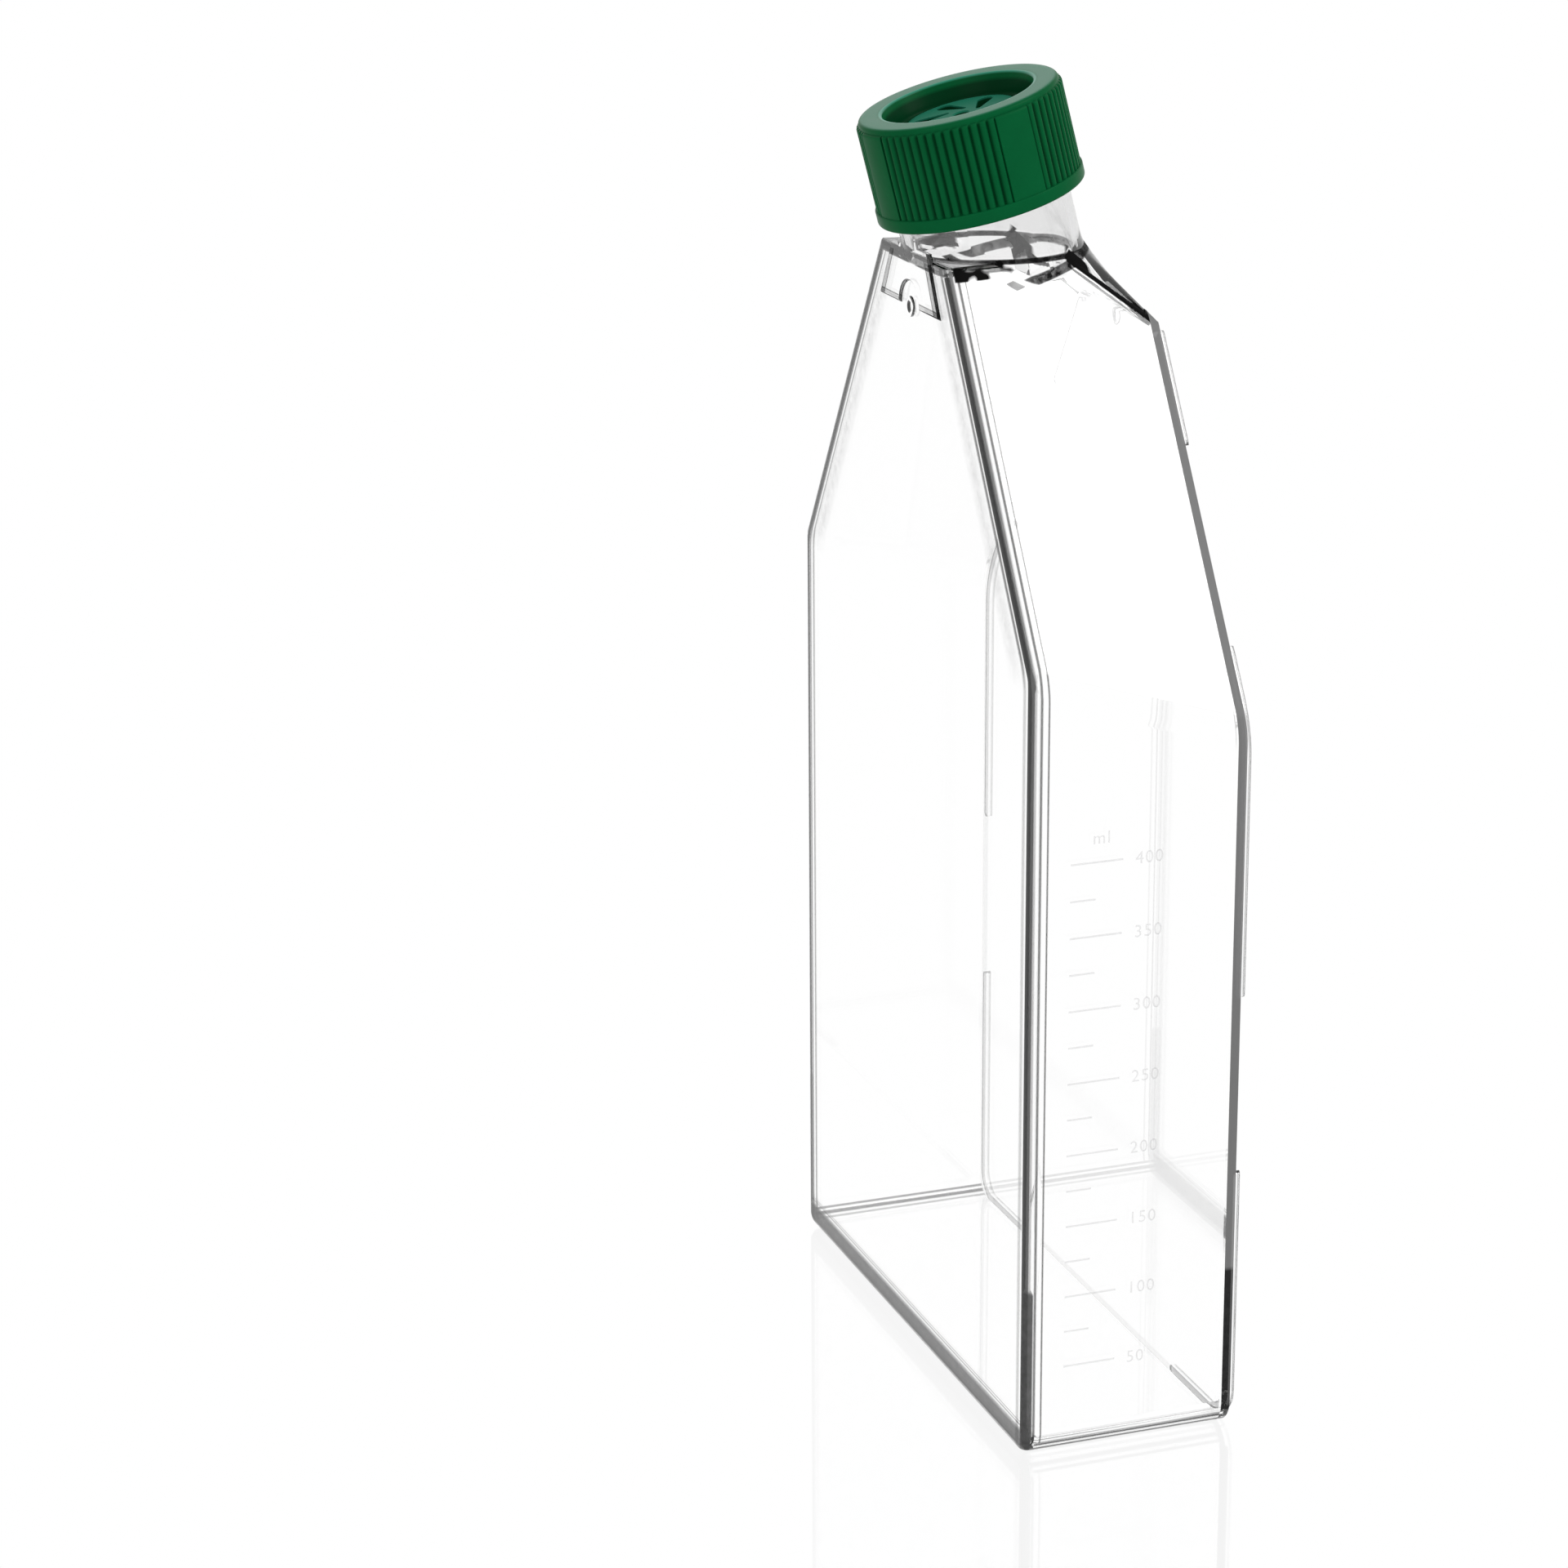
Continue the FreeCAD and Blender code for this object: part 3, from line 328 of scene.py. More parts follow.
def vessel_marks(tree):
    """The vessel's painted shade: darkened lines along its edges, a dark matt corner, black at the
    neck's root.

    All are the same on both sides.  Depths and heights are in millimetres; a low limit of -1 or -2
    only takes in the face itself.
    """
    at = moulded_edges(tree)
    x, z, side, top, end = at["x"], at["z"], at["side"], at["top"], at["end"]
    across = at["y"].size()
    away, along = off_axis(tree, NECK_ROOT * MM, NECK_AXIS)
    shade_noise = noise(tree, 600.0, 2.0, 0.6)
    outer_side = band(side, -1.0, 0.5)
    outer_top = band(top, -1.0, 0.35)
    on_neck = band(away, NECK_RADIUS - 0.5, NECK_RADIUS + 1.5, 0.05) * band(end, -60.0, -0.8, 0.3)

    # Painted shade: dark lines along the edges, the base and the top wall, and grey on the lip, the
    # flat end and the neck, where the clear walls look darker.
    edge_lines = outer_side * bands(top, (0.78, 1.45, 1.85), (0.8, 2.75, 3.05))
    edge_lines = edge_lines * band(z, 2.2, 200.3, 0.4)
    base_lines = band(side, -1.0, 5.4) * band(top, 2.0, 50.0) * bands(
        z, (0.9, 2.3, 2.75), (0.7, 1.3, 1.6), (0.6, 0.5, 0.8, 0.06))
    base_band = band(top, -1.0, 2.3) * band(side, 1.8, 60.0, 0.8) * bands(
        z, (0.6 + 0.2 * shade_noise, -1.0, 4.9, 0.25), (0.55, 5.9, 6.2))
    above_bend = band(at["rise"], 0.0, 90.0, 3.0)
    inner_lines = outer_top * 0.42 * band(side, 3.0, 4.2, 0.3)
    inner_lines = inner_lines + outer_top * band(z, 2.0, 200.0, 1.0) * (
        0.5 * band(side, 1.3, 2.3, 0.15)
        + above_bend * bands(side, (0.5, 3.4, 4.6, 0.2), (0.35 * shade_noise, 6.0, 10.0, 1.6)))
    lip = outer_top * band(end, -0.4, 1.5, 0.15) * (0.5 + 0.55 * shade_noise) * band(away, 15.3, 90.0)
    end_face = band(end, -0.4, 0.25) * band(x, -30.0, RAMP_START) * (0.4 + 0.6 * shade_noise)
    shade = edge_lines + base_lines + base_band + inner_lines + lip + end_face + on_neck * 0.14

    # Painted shade: black bars round the raised panel, black blotches by the flat end, a black ramp
    # edge and a black neck root.
    inside = across - (PANEL_HALF_TOP + (PANEL_TOP - z) * PANEL_FLARE)
    panel_sides = band(z, 192.4, 201.0, 0.1) * bands(
        inside, (0.9, -0.5, 0.0, 0.06), (0.9, -2.1, -1.75), (0.45, -1.7, -0.55, 0.06))
    panel_foot = band(across, 4.8, 13.7) * bands(
        z, (0.9, 192.1, 192.6), (0.35, 192.7, 193.2, 0.06), (0.7, 193.25, 193.5, 0.06))
    panel = band(top, -1.0, -0.02, 0.03) * (panel_sides + panel_foot).least(0.95)
    panel = panel * (0.75 + 0.4 * shade_noise).least(1.0)
    blotchy_shade = outer_side * band(end, -0.4, 2.2, 0.1) * band(x, -18.8, -6.0, 0.4)
    blotchy_shade = blotchy_shade * ((noise(tree, 260.0, 1.0, 0.5) - 0.47) * 14.0).most(0.0).least(1.0)
    ramp = band(side, -1.0, 1.0) * band(at["ramp"], -1.0, 0.9) * band(x, 3.4, 18.2, 0.3)
    root = (band(along, -1.2, 0.5, 0.1) + band(end, -0.6, 0.3, 0.1)).least(1.0)
    root = band(away, 14.9, 15.9, 0.1) * root
    root = root * (0.6 + 0.6 * shade_noise).least(1.0) * band(x, -12.0, 40.0, 2.0)
    black = (panel + blotchy_shade + ramp + root).least(1.0)

    # Painted shade: an opaque matt skin on the rounded corner and at the black places, darker towards
    # the bottom and nearly black at the black places.
    low = band(z, -1.0, 31.5, 0.5)
    corner = band(top - 0.4 * low, -2.0, 0.95, 0.1) * band(side - 0.6 * low, -2.0, 1.3, 0.15)
    shade_skin_share = (corner * (0.55 + 0.4 * low + 0.3 * band(z, 165.0, 203.0, 12.0))).most(black)
    grey = low * (0.6 + 0.4 * shade_noise)
    return shade.least(0.98), shade_skin_share, greys(
        tree, 0.24, (grey, 0.05), ((black * 4.0).least(1.0), 0.004))


def plate_marks(tree):
    """The plate's painted shade: darkened lines, a dark matt cut edge, black at the gate and the
    ramp's foot.
    """
    at = moulded_edges(tree)
    x, z, side = at["x"], at["z"], at["side"]
    shade_noise = noise(tree, 500.0, 2.0, 0.65)
    # Painted shade: dark lines at the ramp's foot, along the foot rim's crest and at the base.
    outside = band(x, HALF_DEPTH - 0.3, HALF_DEPTH + 1.0, 0.05)
    foot = band(z, 188.9, 190.6, 0.1) * outside * 0.5
    crest = 0.5 * band(x, 20.4, 21.0, 0.1)
    base_lines = band(side, -1.0, 5.4) * 0.7 * band(z, 0.6, 0.8, 0.06)
    shade = (foot + crest + base_lines).least(0.97)

    # Painted shade: black round the gate mark and along the ramp's foot.
    height = z - PLATE_GATE
    ring = band((at["y"] * at["y"] + height * height) ** 0.5, 1.25, 1.75, 0.1) * outside
    run = band(at["y"].size(), 4.0, 9.5, 0.3) * band(z, 188.9, 189.35) * outside
    black = (ring * 0.75 + run * 0.8).least(1.0)

    # Painted shade: an opaque matt skin on the cut edge, darker towards the bottom.
    reach = 0.22 + 0.55 * band(at["rise"], -3.4, 3.4, 0.3)
    edge = (((reach + 0.04) - side) / 0.08).most(0.0).least(1.0)
    edge = edge * band(x, 17.0, 19.45, 0.05) * 0.92
    low = band(z, 1.0, 30.5, 0.4) * (0.85 + 0.15 * shade_noise)
    return shade, edge.most(black), greys(
        tree, 0.20, (low, 0.008), ((black * 4.0).least(1.0), 0.004))


def moulded_green(settings):
    """Satin moulded polyethylene: deep green, with painted shade between the ribs and a painted
    highlight, paler green, on the top ring, its lips and the vented disc, the same all round the axis."""
    material, tree = new_material("moulded green")
    mottle = noise(tree, 220.0, 4.0, 0.6)
    drift = noise(tree, 45.0, 2.0)
    deep = [channel * 0.86 for channel in settings.colour]
    full = [min(1.0, channel * 1.3 + 0.0005) for channel in settings.colour]
    # Painted shade: a darker green in the valleys between the ribs.
    shaded = [channel * 0.2 for channel in settings.colour]
    away, along = off_axis(tree, CAP_SEAT, CAP_AXIS)
    valley = (settings.crest - 0.05 - away) / (settings.crest - settings.skirt - 0.05)
    valley = valley.most(0.0).least(1.0) * band(along, 2.6, 17.0, 0.3)
    top = settings.height
    # Painted highlight: paler green on the top ring, its lips and the vented disc, where light catches
    # them.
    ring = band(away, 13.6, 17.2, 0.5) * band(along, top - 0.12, top + 1.0, 0.1) * 0.35
    lips = band(away, 13.15, 13.7, 0.15) * band(along, top - 0.3, top + 1.0, 0.1) * 0.8
    disc = band(away, 0.5, 9.7, 0.2) * band(along, top - 3.25, top - 2.0, 0.1) * 0.55
    colour = mixed(tree, 0.5 * mottle + 0.5 * drift, deep, full)
    colour = mixed(tree, valley * 0.75, colour, shaded)
    colour = mixed(tree, (ring + lips + disc).least(1.0), colour, settings.pale)
    shader = node(tree, "ShaderNodeBsdfPrincipled", values={
        "Base Color": colour, "Roughness": 0.28 + 0.10 * mottle, "Specular IOR Level": 0.025,
        "Coat Weight": (ring + lips * 0.5).least(1.0), "Coat Roughness": 0.2,
        "Normal": bump(tree, noise(tree, 2600.0, 2.0), 0.12, 0.00005)})
    output(tree, shader.outputs[0])
    return material


def membrane_white():
    """Off-white filter membrane with a fine fibrous surface."""
    material, tree = new_material("filter membrane")
    fibres = noise(tree, 3500.0, 5.0, 0.7)
    shader = node(tree, "ShaderNodeBsdfPrincipled", values={
        "Base Color": mixed(tree, fibres, (0.74, 0.75, 0.72), (0.90, 0.90, 0.87)),
        "Roughness": 0.9, "Normal": bump(tree, fibres, 0.4, 0.00008)})
    output(tree, shader.outputs[0])
    return material


def faint_ink(settings):
    """Thin grey ink that lets most light through, worn a little."""
    material, tree = new_material("scale ink")
    worn = noise(tree, 900.0, 4.0, 0.6)
    shader = node(tree, "ShaderNodeBsdfPrincipled", values={
        "Base Color": (*settings.ink, 1.0), "Roughness": 0.6,
        "Alpha": settings.strength * (0.45 + 1.1 * worn).least(1.0)})
    output(tree, shader.outputs[0])
    return material


# ------------------------ meshes from arrays
def linked(name, data):
    """A new object in the scene."""
    made = bpy.data.objects.new(name, data)
    bpy.context.scene.collection.objects.link(made)
    return made


def mesh_piece(name, points, faces, material, smooth=True):
    """An object at the origin from points in metres and lists of corners."""
    mesh = bpy.data.meshes.new(name)
    mesh.from_pydata(points.tolist(), [], [list(face) for face in faces])
    mesh.polygons.foreach_set("use_smooth", [smooth] * len(mesh.polygons))
    mesh.update()
    mesh.materials.append(material)
    return linked(name, mesh)


def closed(mesh, distance):
    """The mesh with its doubles merged and its faces turned outwards."""
    form = bmesh.new()
    form.from_mesh(mesh)
    bmesh.ops.remove_doubles(form, verts=form.verts, dist=distance)
    bmesh.ops.recalc_face_normals(form, faces=form.faces)
    form.to_mesh(mesh)
    form.free()


def ring_faces(rows, columns, start=0):
    """Quads between successive closed rings of a grid whose rows are rings."""
    row, column = np.meshgrid(np.arange(rows - 1), np.arange(columns), indexing="ij")
    after = (column + 1) % columns
    corners = [row * columns + column, row * columns + after,
               (row + 1) * columns + after, (row + 1) * columns + column]
    return start + np.stack(corners, -1).reshape(-1, 4)


def full_turn(count):
    """Angles evenly round a circle, the last one short of the first."""
    return np.linspace(0, 2 * math.pi, count, endpoint=False)


def arc(centre, radius, start, end, count):
    """Points on a circle's arc, angles in degrees, ends included."""
    turn = np.radians(np.linspace(start, end, count))
    return np.stack([centre[0] + radius * np.cos(turn), centre[1] + radius * np.sin(turn)], -1)


def round_axis(axis, radius, turn, along):
    """Points about an axis through the origin: radius times the turned across vector, plus height
    times the axis."""
    across = np.array([axis[2], 0.0, -axis[0]])
    beside = np.array([0.0, 1.0, 0.0])
    radius, turn, along = (v[..., None] for v in np.broadcast_arrays(radius, turn, along))
    return radius * (np.cos(turn) * across + np.sin(turn) * beside) + along * axis


def cap_points(radius, turn, along):
    """Cap coordinates (radius, turn, height) in millimetres to the frame in metres."""
    return CAP_SEAT + MM * round_axis(CAP_AXIS, radius, turn, along)


def neck_points(radius, turn, along):
    """Neck coordinates (radius, turn, distance from the neck's root), all in millimetres."""
    return NECK_ROOT + round_axis(NECK_AXIS, radius, turn, along)


# ------------------------ solids
def solid(name, points, faces):
    """A closed mesh object from points in millimetres, its faces turned outwards."""
    mesh = bpy.data.meshes.new(name)
    places = (np.asarray(points) * MM).tolist()
    mesh.from_pydata(places, [], [list(map(int, face)) for face in faces])
    closed(mesh, 1e-7)
    return linked(name, mesh)


def evaluated_mesh(piece):
    """A new mesh of the piece as its modifiers or its font make it."""
    depsgraph = bpy.context.evaluated_depsgraph_get()
    return bpy.data.meshes.new_from_object(piece.evaluated_get(depsgraph))


def baked(piece):
    """The piece with its modifiers worked into its mesh."""
    mesh = evaluated_mesh(piece)
    piece.modifiers.clear()
    piece.data = mesh
    return piece


def carved(piece, operation, tool):
    """The piece joined with a tool (UNION) or cut by it (DIFFERENCE); the tool goes."""
    modifier = piece.modifiers.new("carve", "BOOLEAN")
    modifier.operation, modifier.solver, modifier.object = operation, "EXACT", tool
    baked(piece)
    bpy.data.objects.remove(tool)
    return piece


def tube_solid(name, rings):
    """A closed solid from a stack of rings (rows, columns, 3), each end closed by a fan."""
    rows, columns = rings.shape[:2]
    points = np.concatenate([rings.reshape(-1, 3), rings[:1].mean(1), rings[-1:].mean(1)])
    turn = np.arange(columns)
    after = (turn + 1) % columns
    low = np.stack([np.full(columns, rows * columns), after, turn], -1)
    last = (rows - 1) * columns
    high = np.stack([np.full(columns, rows * columns + 1), last + turn, last + after], -1)
    faces = ring_faces(rows, columns).tolist() + low.tolist() + high.tolist()
    return solid(name, points, faces)


def stacked_solid(name, outline, steps):
    """A closed solid from an outline of (X, grow) at several steps, capped at both ends."""
    shapes = [(x, outline(x, grow)) for x, grow in steps]
    rings = np.array([np.column_stack([np.full(len(shape), x), shape]) for x, shape in shapes])
    rows, columns = rings.shape[:2]
    last = (rows - 1) * columns
    faces = ring_faces(rows, columns).tolist()
    faces += [list(range(columns))[::-1], list(range(last, last + columns))]
    return solid(name, rings.reshape(-1, 3), faces)


def body_planes(inset, floor, open_to):
    """Outward normals and distances of the body's faces, each moved inwards by the inset."""
    ramp = np.array([RAMP_SLOPE, 0, 1]) / math.hypot(RAMP_SLOPE, 1)
    planes = {
        "top": (np.array([-1.0, 0, 0]), HALF_DEPTH - inset),
        "plate": (np.array([1.0, 0, 0]), open_to),
        "base": (np.array([0, 0, -1.0]), -floor),
        "end": (np.array([0, 0, 1.0]), END - inset),
        "ramp": (ramp, ramp @ [RAMP_START, 0, END] - inset),
    }
    for name, side in (("left", 1.0), ("right", -1.0)):
        planes[f"{name}_low"] = (np.array([0, side, 0]), HALF_WIDTH - inset)
        normal = np.array([TAPER * math.tan(LEAN), side, TAPER])
        normal /= np.linalg.norm(normal)
        planes[f"{name}_high"] = (normal, normal @ [0, side * HALF_WIDTH, BEND] - inset)
    return planes


def rounded_body(name, planes, radii, segments):
    """The body between its planes, with its edges rounded.

    Every corner is where three planes meet.  Each edge is named by its two planes, and the radii
    give how far from the edge its rounding starts.
    """
    names, points = [], []
    for side in ("left", "right"):
        low, high = f"{side}_low", f"{side}_high"
        for trio in (("top", "base", low), ("plate", "base", low), ("plate", low, high),
                     ("top", low, high), ("top", "end", high), ("end", "ramp", high),
                     ("ramp", "plate", high)):
            names.append(set(trio))
            points.append(np.linalg.solve(np.array([planes[key][0] for key in trio]),
                                          np.array([planes[key][1] for key in trio])))
    one_side = len(points) // 2
    a, b, c, d, e, f, g = range(one_side)
    faces = [[*run, *(corner + one_side for corner in reversed(run))]
             for run in ((a, d, e), (b, c, g), (a, b), (e, f), (f, g))]
    for step in (0, one_side):
        faces += [[a + step, b + step, c + step, d + step],
                  [d + step, c + step, g + step, f + step, e + step]]
    body = solid(name, points, faces)
    mesh = body.data
    places = np.empty(3 * len(mesh.vertices))
    mesh.vertices.foreach_get("co", places)
    apart = places.reshape(-1, 1, 3) / MM - np.array(points)
    corner = np.linalg.norm(apart, axis=2).argmin(1)
    weights = mesh.attributes.new("bevel_weight_edge", "FLOAT", "EDGE")
    widest = max(radii.values())
    for edge in mesh.edges:
        first, second = corner[list(edge.vertices)]
        shared = names[first] & names[second]
        if first // one_side != second // one_side:
            shared = {key for key in shared if not key.startswith(("left", "right"))}
        pair = frozenset(key.replace("left_", "").replace("right_", "") for key in shared)
        weights.data[edge.index].value = radii.get(pair, 0.0) / widest
    bevel = body.modifiers.new("rounding", "BEVEL")
    bevel.limit_method, bevel.offset_type = "WEIGHT", "OFFSET"
    bevel.width, bevel.segments, bevel.use_clamp_overlap = widest * MM, segments, False
    return baked(body)


def edges(**radii):
    """Radii by an edge's two planes: top_low=2.5 is where the top wall meets the low side."""
    return {frozenset(name.split("_")): value for name, value in radii.items()}


def crown_solid(name, ring_radius, inset, stop):
    """The shoulder's crowned ramp: straight rulings from a ring on the neck to a rectangle at the
    ramp's foot, each ended where it reaches the plate and carried straight down inside."""
    turn = full_turn(160)
    ring = neck_points(ring_radius, turn, 0.0)
    half, far = HALF_END - inset, -HALF_DEPTH / 2
    near = HALF_DEPTH - (PLATE + inset if inset else 0)
    ahead = np.stack([np.cos(turn), np.sin(turn)], -1)
    centre = NECK_ROOT[:2]
    with np.errstate(divide="ignore", invalid="ignore"):
        reach_x = np.where(ahead[:, 0] > 0, near - centre[0], far - centre[0]) / ahead[:, 0]
        reach_y = np.abs(half / ahead[:, 1])
    reach = np.nanmin(np.where(np.isfinite([reach_x, reach_y]), [reach_x, reach_y], np.inf), axis=0)
    foot = np.column_stack([centre + reach[:, None] * ahead, np.full(len(turn), RAMP_FOOT)])
    with np.errstate(divide="ignore", invalid="ignore"):
        share = np.where(foot[:, 0] > stop, (stop - ring[:, 0]) / (foot[:, 0] - ring[:, 0]), 1.0)
    foot = ring + share[:, None] * (foot - ring)
    steps = np.linspace(0, 1, 9)[:, None, None]
    drop = foot - [0, 0, 7]
    drop[:, :2] *= 0.97
    sunk = neck_points(ring_radius - 2.0, turn, -0.5)
    return tube_solid(name, np.concatenate([sunk[None], ring + steps * (foot - ring), drop[None]]))


def neck_solid(name):
    """The neck's outside: a revolved profile whose radius also follows the screw thread.

    The profile has a fillet at the root and a quarter round at the lip.  The thread's ridge is a
    trapezoid across the distance from its helix, and it fades in and out over an eighth of a turn
    at its ends.
    """
    fillet, fillet_height, lip = 0.35, 2.2, 0.6
    thread_low, thread_high = 14.0, 26.8
    along = np.concatenate([
        [-8.0], np.linspace(0, 3, 9), [5.0, 8.0, 11.0, 13.0],
        np.linspace(thread_low, thread_high, 97), [27.2, 27.6, 27.85, 28.0, 28.1, NECK_LENGTH]])
    turn = full_turn(144)
    profile = NECK_RADIUS + fillet * np.clip(1 - along / fillet_height, 0, 1) ** 2
    passed_lip = np.clip(along - (NECK_LENGTH - lip), 0, lip) / lip
    profile -= 0.5 * (1 - np.sqrt(np.clip(1 - passed_lip ** 2, 0, 1)))
    radius = np.repeat(profile[:, None], len(turn), 1)
    for wind in range(-1, 4):
        passed = turn / (2 * math.pi) + wind
        apart = np.abs(along[:, None] - (THREAD_START + THREAD_LEAD * passed[None, :]))
        fade = np.clip(8 * passed, 0, 1) * np.clip(8 * (THREAD_TURNS - passed), 0, 1)
        ridge = fade * np.clip((1.1 - apart) / 0.6, 0, 1)
        radius = np.maximum(radius, profile[:, None] + ridge)
    rings = neck_points(radius, turn[None, :], along[:, None])
    inside = rings[..., 2] < END
    clear_of_top = np.maximum(rings[..., 0], 0.05 - HALF_DEPTH)
    rings[..., 0] = np.where(inside, clear_of_top, rings[..., 0])
    rim = neck_points(13.0, turn[None, :], np.array([[NECK_LENGTH]]))
    return tube_solid(name, np.concatenate([rings, rim]))


def bore_solid(name):
    """The neck's bore: a revolved profile that opens a little at the mouth."""
    along = np.array([-6.0, 0.0, 6.0, 12.0, 20.0, 27.6, 27.9, 28.1, 28.25, 30.0])[:, None]
    radius = BORE_RADIUS + 0.5 * np.clip((along - 27.6) / 0.6, 0, 1) ** 2
    return tube_solid(name, neck_points(radius, full_turn(144)[None, :], along))


def gate_solid(name, x, z, rise):
    """A gate mark: a low disc with a soft edge, its axis along X; a negative rise points to -X."""
    turn = full_turn(48)
    steps = [(GATE_RADIUS, -0.6), (GATE_RADIUS, 0.3), (GATE_RADIUS - 0.1, 0.8),
             (GATE_RADIUS - 0.3, 1.0), (0.55 * GATE_RADIUS, 1.0), (0.4 * GATE_RADIUS, 0.3)]
    rings = [np.column_stack([np.full(len(turn), x + out * rise), r * np.cos(turn),
                              z + r * np.sin(turn)]) for r, out in steps]
    return tube_solid(name, np.array(rings))


def panel_solid(name):
    """The raised panel at the neck: a trapezoid with sloping sides and a notch at the gate mark."""
    def outline(x, grow):
        notch = arc((0.0, PANEL_FOOT), PANEL_NOTCH - grow, 180, 0, 25)
        low, foot, top = PANEL_FOOT - grow, PANEL_HALF_FOOT + grow, PANEL_HALF_TOP + grow
        return np.concatenate([
            [[-top, PANEL_TOP], [-foot, low], [grow - PANEL_NOTCH, low]], notch[1:-1],
            [[PANEL_NOTCH - grow, low], [foot, low], [top, PANEL_TOP]]])
    steps = ((0.4, 0.0), (0.0, 0.0), (-0.25, -0.1), (-0.45, -0.3), (-0.5, -0.5))
    return stacked_solid(name, outline, [(-HALF_DEPTH + out, grow) for out, grow in steps])


def rim_solid(name, route):
    """A run of the foot rim: a ridge with round shoulders carried along a route on the plate, and
    rounded off at both ends."""
    route = np.array(route, float)
    ahead = np.gradient(route, axis=0)
    ahead /= np.linalg.norm(ahead, axis=1)[:, None]
    beside = np.stack([-ahead[:, 1], ahead[:, 0]], -1)
    section = np.array([(-0.8, -0.5), (-0.8, 0.75), (-0.72, 0.98), (-0.55, 1.12), (-0.35, 1.2),
                        (0.35, 1.2), (0.55, 1.12), (0.72, 0.98), (0.8, 0.75), (0.8, -0.5)])
    length = np.concatenate([[0], np.cumsum(np.linalg.norm(np.diff(route, axis=0), axis=1))])
    ends = np.minimum(length, length[-1] - length)
    width = np.sqrt(np.clip(1 - (1 - np.clip(ends / 0.8, 0, 1)) ** 2, 0.02, 1))
    flat = route[:, None, :] + beside[:, None, :] * (section[None, :, :1] * width[:, None, None])
    out = np.broadcast_to(HALF_DEPTH + section[None, :, 1:], flat.shape[:2] + (1,))
    return tube_solid(name, np.concatenate([out, flat], -1))


def foot_routes():
    """The foot rim's runs on one side as (Y, Z) points: by the ramp, round the bend, at the base."""
    bend = BEND - HALF_DEPTH * math.tan(LEAN) - 0.6
    top, straight = RAMP_FOOT - RIM_INSET, HALF_WIDTH - RIM_INSET
    near_end = np.array([0, 0.003, 0.01, 0.02])

    def on_slope(height):
        return straight - TAPER * (height - bend), height

    def spread(start, end, count):
        shares = np.concatenate([near_end, np.linspace(0.04, 0.96, count), [0.98, 0.99, 0.997, 1]])
        return [(start[0] + (end[0] - start[0]) * k, start[1] + (end[1] - start[1]) * k)
                for k in shares]

    unit = math.hypot(1, TAPER)
    upper = spread(on_slope(top), on_slope(top - 21.0 / unit), 6)
    knee = [(straight - 5 * TAPER * (1 - k) ** 2, bend + 5 - 10 * k) for k in np.linspace(0, 1, 9)]
    first = spread(on_slope(top - 57.0 / unit), on_slope(bend + 5), 6)[:-1]
    last = spread((straight, bend - 5), (straight, 80.0), 6)[1:]
    turn = np.linspace(0, math.pi / 2, 12)
    corner = [(straight - 5 + 5 * math.cos(k), RIM_INSET + 5 - 5 * math.sin(k)) for k in turn]
    lower = (spread((straight, 48.0), (straight, RIM_INSET + 5), 6)[:-1] + corner
             + spread((straight - 5, RIM_INSET), (straight - 22, RIM_INSET), 4)[1:])
    return [upper, first + knee + last, lower]


def polished(piece, material):
    """Smooth shading whose normals follow the large flat faces, so that panes stay flat."""
    mesh = piece.data
    mesh.polygons.foreach_set("use_smooth", [True] * len(mesh.polygons))
    mesh.set_sharp_from_angle(angle=math.radians(38))
    even = piece.modifiers.new("even_normals", "WEIGHTED_NORMAL")
    even.keep_sharp, even.weight = True, 100
    mesh.materials.clear()
    mesh.materials.append(material)
    return piece


# ------------------------ pieces
class FLASK_OT_vessel(bpy.types.Operator):
    """Clear vessel: walls, shoulder, neck, thread, raised panel and gate mark."""
    bl_idname = "flask.vessel"
    bl_label = "Vessel"

    def execute(self, context):
        settings = context.scene.flask_vessel
        weld = HALF_DEPTH - PLATE
        vessel = rounded_body("vessel", body_planes(0, 0, weld), edges(
            top_low=2.5, top_high=2.5, base_top=2.2, base_low=BASE_CORNER, low_high=3.0,
            end_top=0.8, end_high=0.9, end_ramp=0.9, ramp_high=0.9), 8)
        carved(vessel, "UNION", crown_solid("crown", 15.45, 0.0, weld - 0.02))
        carved(vessel, "UNION", neck_solid("neck"))
        carved(vessel, "UNION", panel_solid("raised_panel"))
        carved(vessel, "UNION", gate_solid("top_gate", -HALF_DEPTH, TOP_GATE, -0.3))
        cavity = rounded_body("cavity", body_planes(WALL, FLOOR, weld + 1), edges(
            top_low=0.9, top_high=0.9, base_top=0.6, base_low=BASE_CORNER - WALL, low_high=3.0,
            end_top=0.5, end_high=0.5, end_ramp=0.8, ramp_high=0.5), 6)
        carved(cavity, "UNION", crown_solid("crown_hollow", BORE_RADIUS, WALL, 99.0))
        carved(cavity, "UNION", bore_solid("bore"))
        carved(vessel, "DIFFERENCE", cavity)
        polished(vessel, clear_plastic("clear polystyrene", settings, vessel_marks))
        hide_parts("flask_body")
        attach(vessel, "flask")
        return {"FINISHED"}


